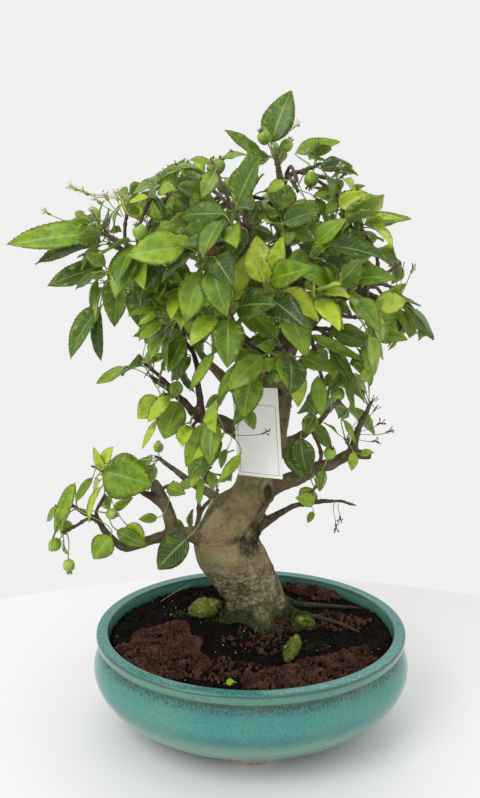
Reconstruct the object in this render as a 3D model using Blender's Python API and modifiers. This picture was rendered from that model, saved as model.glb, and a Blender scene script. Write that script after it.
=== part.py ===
"""A crabapple bonsai in an oval glazed pot. Metres, +Z up, at real size.

The tree stands a little behind the middle of the pot. Its front view was read on the upright
plane through the pot's middle, and seen() sets each such point nearer or farther along the
line of sight, so that the front view keeps its shape. Lists of places are in millimetres.
"""

import math
import random

import bmesh
import bpy
from mathutils import Matrix, Vector
from mathutils.bvhtree import BVHTree

MM = 0.001
GAP = 0.0003
SEED = 7

# The eye that the front view was read from, in front of the pot's middle.
EYE = Vector((-0.0112, -0.7152, 0.5031))

# Pot: half axes of the rim's outer edge, and the wall as (set back from that edge, height).
RIM_LONG = 0.160
RIM_SHORT = 0.128
POT_SIDES = 32
POT_WALL = (
    (46, 8), (30, 17), (14, 32), (2, 47), (-3.5, 62), (-2, 76), (3.2, 87.5), (5.5, 91.5),
    (0.6, 96), (0, 103.4), (1.4, 105), (10.6, 105), (12.4, 102), (13, 88), (7, 66), (12, 45),
    (26, 29), (50, 18),
)
FOOT_LENGTH = 0.054
FOOT_DEPTH = 0.030
FOOT_SPREAD = (0.096, 0.068)
POT_BASE_Z = 0.008
FLOOR_Z = 0.018
DRAIN_RADIUS = 0.011
DRAIN_X = 0.055
SCREEN_SIZE = 0.036
SCREEN_THICK = 0.001
SCREEN_CELLS = 7

# Soil and what lies on it.
SOIL_Z = 0.095
SOIL_WALL = ((51, 19.6), (27, 30), (12.8, 45.6), (7.8, 66), (13.5, 88.2), (13.2, 95))
STUB_DEPTH = 0.022
STUB_RADIUS = 0.031
STUB_HOLE_RADIUS = 0.0316
GRIT_PATCHES = (
    ("grit_left", -92, -42, 50, 56, -24, 5.0),
    ("grit_front", 62, -73, 72, 24, 20, 4.5),
    ("grit_back", 74, 86, 36, 15, -20, 4.0),
)
GRIT_RINGS = ((1.0, 0.0), (0.97, 0.35), (0.72, 0.9), (0.42, 1.0), (0.16, 1.0))
GRIT_SPOKES = 14
SPOKE_STEP = 0.985
RIM_LIP = 0.0146
MOSS_KNOBS = (
    ("moss_knob_back", -49, 38, 17, 12, 15, 10),
    ("moss_knob_right", 56, 9, 11, 9, 10, 0),
    ("moss_knob_front", 41, -38, 6.5, 22, 8, -16),
)

# Trunk and branches: (x, z) as seen from the front, depth and radius, all in millimetres.
TRUNK = (
    (5, 129, 38, 29), (2, 143, 37, 28.5), (-6, 159, 36, 31), (-16, 176, 34, 34),
    (-25, 192, 32, 34), (-25, 207, 31, 31), (-16, 224, 30, 28), (-3, 241, 29, 22.5),
    (5, 262, 27, 20.5), (12, 290, 26, 20), (17, 322, 24, 19.5), (22, 350, 21, 19), (25, 374, 18, 16),
)
TRUNK_SIDES = 15
FLARE_LOBES = 5
FLARE_LOBE = 0.13
FLARE_RADIUS = 0.037
BRANCHES = {
    "apex": ((24, 366, 18, 14), (31, 392, 18, 12), (40, 426, 17, 9.5), (42, 455, 16, 8),
             (32, 482, 15, 7), (29, 512, 16, 5.6), (28, 540, 18, 4.2), (24, 560, 18, 2.8)),
    "left_stem": ((18, 358, 18, 11), (4, 385, 12, 8.5), (-12, 407, 6, 7), (-28, 425, 2, 6.2),
                  (-45, 447, -2, 5.4), (-66, 460, -8, 4.5), (-92, 474, -14, 3.6), (-122, 488, -18, 2.4)),
    "right_mid": ((28, 384, 14, 8), (40, 403, 8, 7), (52, 414, 2, 6), (72, 437, -4, 5),
                  (96, 446, -8, 4), (122, 442, -10, 2.6)),
    "right_low": ((6, 250, 25, 11), (28, 258, 18, 9), (48, 264, 12, 7.6), (63, 274, 6, 6.4),
                  (82, 281, 2, 5.6), (99, 292, 0, 4.6), (104, 312, -2, 3.4), (112, 330, -4, 2.2)),
    "right_stub": ((96, 290, 0, 4.6), (108, 289, -1, 4.4), (119, 287, -2, 4.2)),
    "low_twig": ((2, 208, 26, 6), (28, 227, 11, 3.6), (49, 236, 6, 2.6), (70, 240, 4, 2.1),
                 (86, 240, 2, 1.7), (106, 235, 0, 1.3)),
    "low_left": ((-36, 200, 26, 13), (-58, 203, 18, 9), (-79, 203, 12, 6.5), (-101, 199, 6, 5.2),
                 (-127, 190, 0, 4.4), (-141, 198, -4, 3.6), (-154, 217, -6, 3), (-170, 228, -6, 2.2)),
    "cut_stub": ((-79, 203, 12, 7.2), (-84, 227, 12, 6.3), (-92, 248, 12, 5.5), (-99, 260, 12, 4.8)),
    "spur_up": ((-88, 236, 12, 4), (-112, 251, 4, 3), (-134, 263, 0, 2.2)),
    "mid_left": ((2, 298, 22, 10), (-16, 313, 8, 7), (-30, 323, 0, 6), (-44, 324, -4, 5.2),
                 (-56, 330, -6, 4.4), (-69, 345, -8, 3.5), (-88, 360, -10, 2.4)),
    "bud_twig": ((-50, 326, -5, 4.2), (-51, 356, -6, 3.2), (-55, 388, -6, 2.6), (-64, 404, -6, 2.1),
                 (-69, 428, -6, 1.7), (-71, 438, -6, 1.5)),
    "thin_twig": ((-52, 203, 20, 4), (-53, 224, 14, 2.6), (-40, 242, 8, 2)),
    "back_left": ((14, 322, 28, 9), (-4, 345, 58, 7.2), (-28, 366, 88, 5.4), (-50, 392, 112, 3.8),
                  (-66, 420, 126, 2.4)),
    "back_right": ((22, 356, 24, 9.5), (42, 374, 55, 7.2), (64, 394, 86, 5.4), (80, 418, 110, 3.8),
                   (90, 446, 124, 2.4)),
    "back_top": ((38, 418, 18, 7), (30, 442, 48, 5.6), (18, 472, 74, 4), (2, 500, 90, 2.4)),
    "front_top": ((40, 440, 15, 6.6), (22, 462, -18, 5), (2, 484, -46, 3.8), (-14, 504, -66, 2.4)),
    "front_mid": ((14, 372, 8, 7.4), (-4, 388, -20, 5), (-14, 402, -48, 3.8), (-20, 422, -72, 2.4)),
    "front_right": ((34, 398, 10, 7.4), (48, 410, -22, 5), (62, 424, -50, 3.8), (74, 440, -72, 2.4)),
    "back_low_right": ((14, 292, 30, 7.6), (38, 302, 58, 5.6), (60, 316, 82, 4), (76, 334, 98, 2.4)),
    "back_low_left": ((-14, 228, 44, 7.6), (-38, 246, 72, 5.6), (-64, 262, 94, 4), (-86, 280, 108, 2.4)),
}
SURFACE_ROOTS = (
    ((30, 50, 104, 8), (52, 54, 98.5, 4), (90, 51, 97.6, 2.2), (124, 45, 97.2, 1.4)),
    ((32, 34, 104, 8), (56, 31, 98.8, 3), (88, 18, 97.6, 2), (114, -4, 97.2, 1.3)),
)
TWIG_TIP_RADIUS = 0.0016

# Leafy spurs: which branches end without one, and a spur's length and radii.
BARE_ENDS = ("cut_stub", "right_stub", "low_twig", "bud_twig")
END_LEAVES = 5
END_SIZE = 42
SPUR_LENGTH = 0.013
SPUR_ROOT_RADIUS = 0.0026
SPUR_WAIST_RADIUS = 0.0028
SPUR_TIP_RADIUS = 0.0013
SPUR_SIDES = 5

# Sprays that stand on their own twigs: seen x and z, depth, leaves, leaf length.
SIDE_SPRAYS = (
    (50, 560, -2, 5, 36), (74, 540, -8, 5, 40), (98, 514, 2, 5, 38),
    (132, 470, 8, 5, 36), (148, 438, 2, 5, 34), (92, 410, -40, 5, 42), (78, 384, -22, 5, 40),
    (38, 398, -76, 5, 42), (-6, 524, -20, 5, 42), (-36, 542, -22, 5, 40),
    (-82, 530, -4, 5, 40), (-116, 520, 4, 3, 34), (-132, 500, -26, 3, 40), (-130, 464, -6, 4, 42),
    (-100, 490, -48, 5, 44), (-96, 458, -38, 4, 44), (-66, 486, -62, 5, 44), (-34, 484, -84, 5, 44),
    (-58, 450, -48, 4, 42), (-44, 410, -46, 4, 42), (-36, 334, -44, 3, 40),
    (8, 440, -92, 5, 44), (46, 478, -62, 5, 44), (72, 494, -34, 5, 42), (70, 476, 78, 5, 44),
    (-44, 516, 62, 5, 44), (-70, 470, 74, 5, 44), (60, 248, 2, 1, 26), (-180, 212, -8, 1, 28),
)

# Leaves that give the front view its outline: base and tip as seen, depths and width.
FEATURE_LEAVES = (
    (-147, 271, -4, -100, 257, -16, 46), (-178, 258, -8, -208, 198, -14, 15),
    (-64, 204, -2, -103, 171, -14, 33), (-141, 206, -10, -161, 181, -16, 24),
    (-126, 214, -6, -108, 195, -14, 19), (-71, 343, -22, -89, 304, -34, 29),
    (-90, 346, -16, -114, 325, -22, 22), (-122, 375, -12, -154, 362, -16, 12),
    (-144, 434, 8, -191, 388, 0, 25), (-146, 430, 10, -157, 376, 6, 15),
    (-146, 503, -28, -233, 497, -40, 26), (-146, 494, -26, -210, 484, -28, 19),
    (-140, 474, -12, -198, 459, -20, 23), (-126, 462, -22, -134, 415, -30, 25),
    (-104, 456, -48, -110, 412, -56, 24), (-82, 466, -50, -80, 418, -60, 25),
    (17, 584, 18, 31, 633, 10, 30), (8, 570, 14, -22, 599, 4, 15),
    (40, 575, 0, 80, 589, -8, 15), (62, 561, -10, 91, 568, -20, 17),
    (104, 511, -10, 147, 523, -22, 17), (148, 430, -2, 180, 405, -8, 15),
    (76, 412, -44, 121, 401, -54, 25), (62, 252, 14, 50, 234, 6, 20),
    (2, 372, -76, -10, 326, -84, 29), (-30, 304, -40, -72, 263, -50, 27),
    (40, 302, 2, 52, 262, -8, 26), (60, 532, -14, 38, 502, -22, 27),
)

# Fruits: seen x and z, depth, diameter.
FRUITS = (
    (-200, 193, -8, 13), (-187, 170, -12, 12), (-188, 212, -2, 12), (-142, 214, -14, 11),
    (11, 588, 10, 13), (31, 581, 24, 12), (54, 555, -12, 13), (-18, 545, -36, 17),
    (-32, 563, -20, 14), (-28, 519, -40, 14), (-104, 504, -60, 13), (30, 427, -92, 15),
    (78, 290, -14, 12), (57, 268, 30, 12), (84, 350, -34, 13), (-72, 548, 30, 13),
    (20, 520, 96, 14), (84, 480, 96, 13), (-80, 505, 84, 13), (96, 456, 130, 12),
    (-72, 440, 132, 13), (-92, 296, 116, 12), (84, 350, 104, 12),
)

# Where the front view stays open: the label, and the bare trunk under the crown.
OPEN_VIEWS = ((-14, 36, 236, 352), (-56, 40, 120, 250))

# The crown's outline as seen from the front.
CROWN = (
    (10, 600), (24, 640), (46, 622), (48, 592), (90, 592), (104, 566), (98, 550), (130, 538),
    (150, 518), (134, 500), (144, 468), (160, 438), (182, 402), (174, 392), (148, 404), (132, 390),
    (124, 368), (108, 344), (136, 320), (126, 288), (98, 272), (92, 250), (108, 234), (94, 216),
    (60, 214), (30, 246), (-20, 252), (-34, 220), (-56, 178), (-92, 160), (-140, 160), (-184, 150),
    (-216, 176), (-210, 232), (-162, 250), (-148, 290), (-98, 290), (-84, 262), (-62, 270),
    (-70, 300), (-114, 320), (-110, 350), (-152, 356), (-156, 378), (-118, 384), (-118, 410),
    (-152, 372), (-196, 386), (-200, 410), (-152, 440), (-172, 452), (-212, 456), (-188, 482),
    (-240, 486), (-242, 508), (-200, 520), (-164, 520), (-178, 552), (-160, 566), (-136, 538),
    (-92, 558), (-70, 572), (-20, 590),
)

# A leaf blade: (share of the length, share of the half width). Teeth point to the tip.
MARGIN = ((0.10, 0.52), (0.31, 1.0), (0.40, 0.89), (0.62, 0.82), (0.71, 0.62))
RIB = 0.44
BLADE_THICK = 0.0012
FRUIT_PROFILE = ((-0.68, 0.76), (0.0, 1.04), (0.66, 0.78), (0.92, 0.30), (1.22, 0.34))
PETIOLE_RADIUS = 0.0008
ROUTE_TRIES = 60

# A leaf is tried a little thicker and larger than it is made, which leaves a gap round it.
TRIED_THICK = 0.0026
TRIED_GROWTH = 1.06
TRIED_PETIOLE = 0.0013
TRIED_RELIEF = 0.0012
FRUIT_CLEAR = 0.0014
FRUIT_SIDES = 6

# Label: its middle as seen from the front and its depth, its size, and how it hangs.
TAG_CENTRE = (5.9, 311, -20)
TAG_WIDTH = 0.050
TAG_HEIGHT = 0.088
TAG_THICK = 0.0009
TAG_LEAN = math.radians(4.6)
TAG_TURN = math.radians(32)
TAG_HOLE_RADIUS = 0.0028
TAG_HOLE_DROP = 0.0058
TIE_RADIUS = 0.0006
TIE_CLEAR = 0.0016
TIE_SIDES = 5

# Pink bud as (height, radius) in millimetres, and the leaf that lies on the soil.
BUD_PROFILE = ((0, 1.5), (3, 1.7), (5, 4.0), (9, 5.0), (13, 3.4), (15.5, 1.0))
BUD_PETALS = 5
SPROUT_PLACE = (-0.019, -0.094)
SPROUT_RADIUS = 0.0048
SPROUT_THICK = 0.0009


def seen(x, z, depth):
    """The place seen from the front at x and z, this far behind the pot's middle."""
    front = Vector((x * MM, 0, z * MM))
    return EYE + (front - EYE) * ((depth * MM - EYE.y) / -EYE.y)


def as_seen(point):
    """x and z in millimetres where the line of sight to this point meets the middle plane."""
    front = EYE + (point - EYE) * (-EYE.y / (point.y - EYE.y))
    return front.x / MM, front.z / MM


def new_object(name, mesh, collection):
    obj = bpy.data.objects.new(name, mesh)
    collection.objects.link(obj)
    return obj


def mesh_from(name, verts, faces):
    """A mesh with its faces turned outwards."""
    shape = bmesh.new()
    corners = [shape.verts.new(vert) for vert in verts]
    for face in faces:
        shape.faces.new([corners[i] for i in face])
    bmesh.ops.recalc_face_normals(shape, faces=shape.faces)
    if shape.calc_volume(signed=True) < 0:
        bmesh.ops.reverse_faces(shape, faces=shape.faces)
    mesh = bpy.data.meshes.new(name)
    shape.to_mesh(mesh)
    shape.free()
    return mesh


def loft(rings):
    """Vertices and faces of a closed body through rings of equally many points."""
    sides = len(rings[0])
    verts = [point for ring in rings for point in ring]
    faces = [tuple(range(sides)), tuple(range(len(verts) - sides, len(verts)))]
    for i in range(len(rings) - 1):
        for j in range(sides):
            a, b = i * sides + j, i * sides + (j + 1) % sides
            faces.append((a, b, b + sides, a + sides))
    return verts, faces


def oval(setback, height):
    ring = []
    for i in range(POT_SIDES):
        angle = math.tau * i / POT_SIDES
        ring.append(Vector((
            (RIM_LONG - setback) * math.cos(angle), (RIM_SHORT - setback) * math.sin(angle), height,
        )))
    return ring


def evaluated_mesh(obj):
    graph = bpy.context.evaluated_depsgraph_get()
    return bpy.data.meshes.new_from_object(obj.evaluated_get(graph))


def joined(name, pieces, collection, solver="EXACT"):
    """One body from overlapping closed pieces."""
    first, others = pieces[0], pieces[1:]
    group = bpy.data.collections.new(name + "_pieces")
    bpy.context.scene.collection.children.link(group)
    for piece in others:
        collection.objects.unlink(piece)
        group.objects.link(piece)
    union = first.modifiers.new("join", "BOOLEAN")
    union.operation = "UNION"
    union.operand_type = "COLLECTION"
    union.collection = group
    union.solver = solver
    bpy.context.view_layer.update()
    mesh = evaluated_mesh(first)
    for piece in pieces:
        bpy.data.objects.remove(piece)
    bpy.data.collections.remove(group)
    mesh.name = name
    return new_object(name, mesh, collection)


def cut(obj, cutter, cutters):
    """Takes a helper's shape out of the object."""
    cutter.hide_render = True
    cutter.display_type = "WIRE"
    cutters.objects.link(cutter)
    boolean = obj.modifiers.new("cut " + cutter.name, "BOOLEAN")
    boolean.operation = "DIFFERENCE"
    boolean.object = cutter


def welded_copy(guide):
    """A curve's evaluated mesh with its caps welded on and its faces turned outwards."""
    mesh = evaluated_mesh(guide)
    shape = bmesh.new()
    shape.from_mesh(mesh)
    bmesh.ops.remove_doubles(shape, verts=shape.verts, dist=0.00001)
    bmesh.ops.recalc_face_normals(shape, faces=shape.faces)
    shape.to_mesh(mesh)
    shape.free()
    return mesh


def tube_object(name, points, radii, resolution, collection):
    """A closed tube mesh made from a curve through the points."""
    curve = bpy.data.curves.new(name, "CURVE")
    curve.dimensions = "3D"
    curve.bevel_depth = 1.0
    curve.bevel_resolution = resolution
    curve.use_fill_caps = True
    spline = curve.splines.new("POLY")
    spline.points.add(len(points) - 1)
    for knot, point, radius in zip(spline.points, points, radii):
        knot.co = (*point, 1)
        knot.radius = radius
    guide = new_object(name + "_curve", curve, collection)
    bpy.context.view_layer.update()
    mesh = welded_copy(guide)
    bpy.data.objects.remove(guide)
    return new_object(name, mesh, collection)


# Skeleton of the wood

def branch_routes():
    """Each branch as its points and radii, in metres."""
    routes = {}
    for name, knots in BRANCHES.items():
        points = [seen(x, z, depth) for x, z, depth, _ in knots]
        radii = [radius * MM for *_, radius in knots]
        routes[name] = (points, radii)
    return routes


def twig_routes(routes, tips):
    """A curved twig from the nearest wood to each tip, nearest tips first."""
    nodes = []
    for points, radii in routes.values():
        for i in range(1, len(points) - 1):
            nodes.append((points[i], radii[i], (points[i] - points[i - 1]).normalized()))
    twigs = {}
    waiting = dict(tips)
    while waiting:
        best = None
        for name, tip in waiting.items():
            for place, radius, along in nodes:
                way = tip - place
                cost = way.length + 0.3 * max(0.0, place.z - tip.z)
                cost += 0.3 * way.length * (1 - way.normalized().dot(along))
                if radius > 0.002 and (best is None or cost < best[0]):
                    best = (cost, name, place, radius, along)
        _, name, place, radius, along = best
        tip = waiting.pop(name)
        way = tip - place
        bend = place + along * way.length * 0.45 + Vector((0, 0, 0.04 * way.length))
        thick = min(radius * 0.8, TWIG_TIP_RADIUS + 0.022 * way.length)
        points = []
        radii = []
        steps = 3 if way.length > 0.03 else 2
        for i in range(steps + 1):
            t = i / steps
            points.append(place * (1 - t) ** 2 + bend * 2 * t * (1 - t) + tip * t * t)
            radii.append(thick + (TWIG_TIP_RADIUS - thick) * t)
        twigs[name] = (points, radii)
        for i in range(1, steps):
            nodes.append((points[i], radii[i], (points[i + 1] - points[i - 1]).normalized()))
    return twigs


# Clearance

def plain_tube(points, radii, grow):
    """Vertices and faces of a thick four-sided stand-in for a tube."""
    rings = []
    for i, (point, radius) in enumerate(zip(points, radii)):
        along = (points[min(i + 1, len(points) - 1)] - points[max(i - 1, 0)]).normalized()
        side = along.orthogonal().normalized()
        other = along.cross(side)
        size = radius * 1.15 + grow
        rings.append([point + side * size, point + other * size, point - side * size, point - other * size])
    return loft(rings)


def tree_of(verts, faces):
    return BVHTree.FromPolygons(verts, faces)


class Surroundings:
    """What new leaves and fruits keep clear of."""

    def __init__(self):
        self.fixed = []
        self.blades = []

    def add_fixed(self, owner, verts, faces):
        self.fixed.append((owner, box_of(verts), tree_of(verts, faces)))

    def add_blade(self, verts, faces):
        self.blades.append((box_of(verts), tree_of(verts, faces)))

    def blocked(self, verts, faces, owner, past_own):
        box = box_of(verts)
        tree = tree_of(verts, faces)
        for other, other_box, other_tree in self.fixed:
            if past_own and other == owner:
                continue
            if boxes_meet(box, other_box) and tree.overlap(other_tree):
                return True
        return any(boxes_meet(box, other) and tree.overlap(blade) for other, blade in self.blades)


def box_of(verts):
    return [(min(v[k] for v in verts), max(v[k] for v in verts)) for k in range(3)]


def boxes_meet(a, b):
    return all(a[k][0] <= b[k][1] and b[k][0] <= a[k][1] for k in range(3))


# Leaves

def leaf_shape(leaf, thick, grow=1.0, petiole=PETIOLE_RADIUS):
    """Vertices, blade faces and stalk faces of a toothed, folded and arched leaf."""
    base, forward, normal = leaf["base"], leaf["forward"], leaf["normal"]
    side = forward.cross(normal)
    length, half = leaf["length"] * grow, leaf["width"] * grow / 2

    def place(along, across, below):
        turn = leaf["arch"] * along
        reach = length * math.sin(turn) / leaf["arch"]
        fall = length * (1 - math.cos(turn)) / leaf["arch"]
        lift = abs(across) * leaf["fold"] - below
        return base + forward * reach + side * across + normal * (lift - fall)

    stalk = (base - leaf["root"]).normalized()
    stalk_side = (side - stalk * side.dot(stalk)).normalized()
    stalk_up = stalk_side.cross(stalk)
    verts = [
        leaf["root"] - stalk_side * petiole,
        leaf["root"] + stalk_side * petiole,
        leaf["root"] - stalk_up * petiole * 1.4,
        base - side * petiole,
        base + side * petiole,
        base - normal * petiole * 1.4,
    ]
    for sign in (-1, 1):
        for along, across in MARGIN:
            wave = leaf["wave"] * length * math.sin(9 * along + sign)
            verts.append(place(along, sign * across * half, -wave))
    verts += [place(1, 0, 0), place(RIB, 0, 0), place(RIB, 0, thick)]
    tip, top, under = 16, 17, 18
    faces = [(3, 4, top), (3, 5, under), (4, 5, under)]
    for first, start in ((3, 6), (4, 11)):
        edge = (first, *range(start, start + len(MARGIN)), tip)
        for rib in (top, under):
            faces += [(edge[i], edge[i + 1], rib) for i in range(len(edge) - 1)]
    stalk_faces = [(0, 1, 2), (0, 1, 4, 3), (1, 2, 5, 4), (2, 0, 3, 5)]
    return verts, faces, stalk_faces


def make_leaf(root, base, forward, up, length, width, rng):
    """A leaf whose blade runs forward from its base, with its upper face towards up."""
    forward = forward.normalized()
    normal = (up - forward * up.dot(forward)).normalized()
    return {
        "root": root, "base": base, "forward": forward, "normal": normal,
        "length": length, "width": width, "arch": rng.uniform(0.25, 0.75),
        "fold": rng.uniform(0.10, 0.34), "wave": rng.uniform(0.008, 0.022),
    }


def inside(point, outline):
    """Whether a seen point lies inside a closed outline."""
    x, z = point
    crossings = 0
    for (x0, z0), (x1, z1) in zip(outline, outline[1:] + outline[:1]):
        if (z0 > z) != (z1 > z) and x < x0 + (z - z0) * (x1 - x0) / (z1 - z0):
            crossings += 1
    return crossings % 2 == 1


def in_view_rules(verts):
    """Whether a leaf stays in the crown's outline and off the open parts of the front view."""
    for vert in verts:
        place = as_seen(vert)
        if not inside(place, CROWN):
            return False
        if vert.y < 0.05:
            for x0, x1, z0, z1 in OPEN_VIEWS:
                if x0 < place[0] < x1 and z0 < place[1] < z1:
                    return False
    return True


def clear_leaf(leaf, owner, around, free):
    """Whether the leaf, made thick and a little larger, touches nothing placed before."""
    verts, blade, stalk = leaf_shape(leaf, TRIED_THICK, TRIED_GROWTH, TRIED_PETIOLE)
    if not free and not in_view_rules(verts[6:]):
        return False
    thick = list(verts)
    thick[17] = verts[17] + leaf["normal"] * TRIED_RELIEF
    if around.blocked(thick, blade, owner, False):
        return False
    return not around.blocked(thick, stalk, owner, True)


def keep_leaf(leaf, spray, around):
    verts, blade, stalk = leaf_shape(leaf, TRIED_THICK, TRIED_GROWTH, TRIED_PETIOLE)
    around.add_blade(verts, blade)
    around.add_fixed(spray["name"], verts, stalk)
    spray["leaves"].append(leaf)


def spray_cores(routes, twigs):
    """Each spray's short spur, standing off the end of its twig."""
    sprays = []
    ends = [(name, route, END_LEAVES, END_SIZE) for name, route in routes.items() if name not in BARE_ENDS]
    ends += [(name, twigs[name], count, size) for name, (_, _, _, count, size) in side_spray_names()]
    for number, (name, (points, radii), count, size) in enumerate(ends, 1):
        along = (points[-1] - points[-2]).normalized()
        sprays.append({
            "name": f"spray_{number:02d}", "start": points[-1] + along * GAP, "axis": along,
            "length": SPUR_LENGTH, "radius": min(radii[-1], SPUR_ROOT_RADIUS), "count": count,
            "size": size * MM, "leaves": [], "fruits": [],
        })
    return sprays


def side_spray_names():
    return [(f"twig_{i:02d}", spray) for i, spray in enumerate(SIDE_SPRAYS)]


def root_place(spray, share):
    return spray["start"] + spray["axis"] * spray["length"] * share


def nearest_spray(place, sprays):
    return min(sprays, key=lambda spray: (root_place(spray, 0.6) - place).length)


def place_features(sprays, around, rng):
    for x0, z0, y0, x1, z1, y1, width in FEATURE_LEAVES:
        base, tip = seen(x0, z0, y0), seen(x1, z1, y1)
        spray = nearest_spray(base, sprays)
        root = root_place(spray, 0.45 + 0.4 * (len(spray["leaves"]) % 2))
        face = Vector((0, -0.8, 0.6))
        for attempt in range(ROUTE_TRIES):
            shift = Vector((0, 0.0015 * ((attempt + 1) // 2) * (-1) ** attempt, 0))
            way = tip - base
            up = face + Vector((rng.uniform(-0.3, 0.3), 0, rng.uniform(-0.3, 0.3)))
            leaf = make_leaf(root, base + shift, way, up, way.length, width * MM, rng)
            if clear_leaf(leaf, spray["name"], around, True):
                keep_leaf(leaf, spray, around)
                break


def fruit_stalk(fruit):
    """Points and radii of the stalk, from inside the spur to the top of the fruit."""
    top = fruit["centre"] + fruit["up"] * fruit["radius"] * 0.97
    return [fruit["root"], top], [0.0008, 0.0009]


def place_fruits(sprays, around, rng):
    for x, z, depth, size in FRUITS:
        for attempt in range(ROUTE_TRIES):
            drift = 0.0008 * attempt
            shake = Vector([rng.uniform(-drift, drift) for _ in range(3)])
            centre = seen(x, z, depth) + shake
            spray = nearest_spray(centre, sprays)
            root = root_place(spray, 0.7)
            up = (root - centre).normalized()
            fruit = {"centre": centre, "radius": size * MM / 2, "up": up, "root": root}
            ball = plain_ball(centre, fruit["radius"] + FRUIT_CLEAR)
            stalk = plain_tube(*fruit_stalk(fruit), 0.0008)
            if (root - centre).length < fruit["radius"] + 0.004:
                continue
            if around.blocked(*ball, spray["name"], False) or around.blocked(*stalk, spray["name"], True):
                continue
            around.add_fixed("fruit", *ball)
            around.add_fixed(spray["name"], *stalk)
            spray["fruits"].append(fruit)
            break


def plain_ball(centre, radius):
    """A six-sided stand-in for a fruit, a little larger than it."""
    rings = []
    for height, across in ((-1, 0.35), (-0.6, 0.95), (0.6, 0.95), (1, 0.35)):
        ring = []
        for i in range(6):
            angle = math.tau * i / 6
            ring.append(centre + radius * Vector((
                1.1 * across * math.cos(angle), 1.1 * across * math.sin(angle), height,
            )))
        rings.append(ring)
    return loft(rings)


def place_leaves(sprays, around, rng):
    """Leaves turned about each spur by the golden angle, one to each spray in turn."""
    middle = seen(0, 400, 10)
    for turn in range(max(spray["count"] for spray in sprays)):
        for number, spray in enumerate(sprays):
            if len(spray["leaves"]) >= spray["count"]:
                continue
            axis = spray["axis"]
            across = axis.orthogonal().normalized()
            other = axis.cross(across)
            outward = (spray["start"] - middle).normalized()
            for attempt in range(ROUTE_TRIES):
                angle = 2.4 * turn + number + rng.uniform(-0.5, 0.5) + 0.3 * attempt
                lean = rng.uniform(0.5, 1.25)
                around_axis = across * math.cos(angle) + other * math.sin(angle)
                way = axis * math.cos(lean) + around_axis * math.sin(lean) + outward * 0.25
                way.normalize()
                root = root_place(spray, rng.uniform(0.45, 0.85))
                base = root + way * rng.uniform(0.010, 0.022)
                forward = way + Vector((0, 0, rng.uniform(-0.9, -0.1)))
                length = spray["size"] * rng.uniform(0.72, 1.12) * (1 - 0.006 * attempt)
                width = length * rng.uniform(0.5, 0.66)
                up = Vector((0, 0, 0.45)) + Vector((outward.x, outward.y, 0)) * 0.9
                up += Vector([rng.uniform(-0.35, 0.35) for _ in range(3)])
                leaf = make_leaf(root, base, forward, up, length, width, rng)
                if clear_leaf(leaf, spray["name"], around, False):
                    keep_leaf(leaf, spray, around)
                    break


def core_rings(spray):
    axis = spray["axis"]
    across = axis.orthogonal().normalized()
    other = axis.cross(across)
    rings = []
    for share, size in ((0, spray["radius"]), (0.6, SPUR_WAIST_RADIUS), (1, SPUR_TIP_RADIUS)):
        centre = root_place(spray, share)
        ring = []
        for i in range(SPUR_SIDES):
            angle = math.tau * i / SPUR_SIDES
            ring.append(centre + (across * math.cos(angle) + other * math.sin(angle)) * size)
        rings.append(ring)
    return rings


# The finished pieces

def build_pot(parts, cutters):
    wall = [oval(setback * MM, height * MM) for setback, height in POT_WALL]
    bowl = new_object("bowl", mesh_from("bowl", *loft(wall)), parts)
    pieces = [bowl]
    places = (
        (0, -FOOT_SPREAD[1], 0), (0, FOOT_SPREAD[1], 0),
        (-FOOT_SPREAD[0], 0, 1), (FOOT_SPREAD[0], 0, 1),
    )
    for x, y, turned in places:
        bpy.ops.mesh.primitive_cone_add(
            vertices=16, radius1=1, radius2=1.12, depth=POT_BASE_Z + 0.002,
            location=(x, y, (POT_BASE_Z + 0.002) / 2), rotation=(0, 0, turned * math.pi / 2),
        )
        foot = bpy.context.active_object
        foot.scale = (FOOT_LENGTH / 2, FOOT_DEPTH / 2, 1)
        bpy.ops.object.transform_apply(location=True, rotation=True, scale=True)
        for collection in foot.users_collection:
            collection.objects.unlink(foot)
        parts.objects.link(foot)
        pieces.append(foot)
    pot = joined("pot", pieces, parts)
    for x in (-DRAIN_X, DRAIN_X):
        bpy.ops.mesh.primitive_cylinder_add(
            vertices=20, radius=DRAIN_RADIUS, depth=0.05, location=(x, 0, 0.012),
        )
        drill = bpy.context.active_object
        drill.name = "drain_drill"
        for collection in drill.users_collection:
            collection.objects.unlink(drill)
        cut(pot, drill, cutters)
    return pot


def build_screens(parts):
    """A small plastic mesh over each drain hole."""
    screens = []
    for name, x in (("drain_screen_left", -DRAIN_X), ("drain_screen_right", DRAIN_X)):
        shape = bmesh.new()
        bmesh.ops.create_grid(shape, x_segments=SCREEN_CELLS, y_segments=SCREEN_CELLS, size=SCREEN_SIZE / 2)
        step = SCREEN_SIZE / SCREEN_CELLS
        holes = []
        for face in shape.faces:
            middle = face.calc_center_median()
            column = round((middle.x + SCREEN_SIZE / 2) / step - 0.5)
            row = round((middle.y + SCREEN_SIZE / 2) / step - 0.5)
            if column % 2 and row % 2:
                holes.append(face)
        bmesh.ops.delete(shape, geom=holes, context="FACES")
        mesh = bpy.data.meshes.new(name)
        shape.to_mesh(mesh)
        shape.free()
        screen = new_object(name, mesh, parts)
        screen.location = (x, 0, FLOOR_Z + GAP)
        sheet = screen.modifiers.new("sheet", "SOLIDIFY")
        sheet.thickness = SCREEN_THICK
        sheet.offset = 1
        screens.append(screen)
    return screens


def trunk_ring(centre, along, radius, lobe):
    """A ring across the trunk. The lobes are the root flare's ribs."""
    side = Vector((1, 0, 0))
    side = (side - along * side.dot(along)).normalized()
    back = along.cross(side)
    ring = []
    for i in range(TRUNK_SIDES):
        angle = math.tau * i / TRUNK_SIDES
        size = radius * (1 + lobe * math.cos(FLARE_LOBES * angle + 0.6))
        ring.append(centre + (side * math.cos(angle) + back * math.sin(angle)) * size)
    return ring


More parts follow.
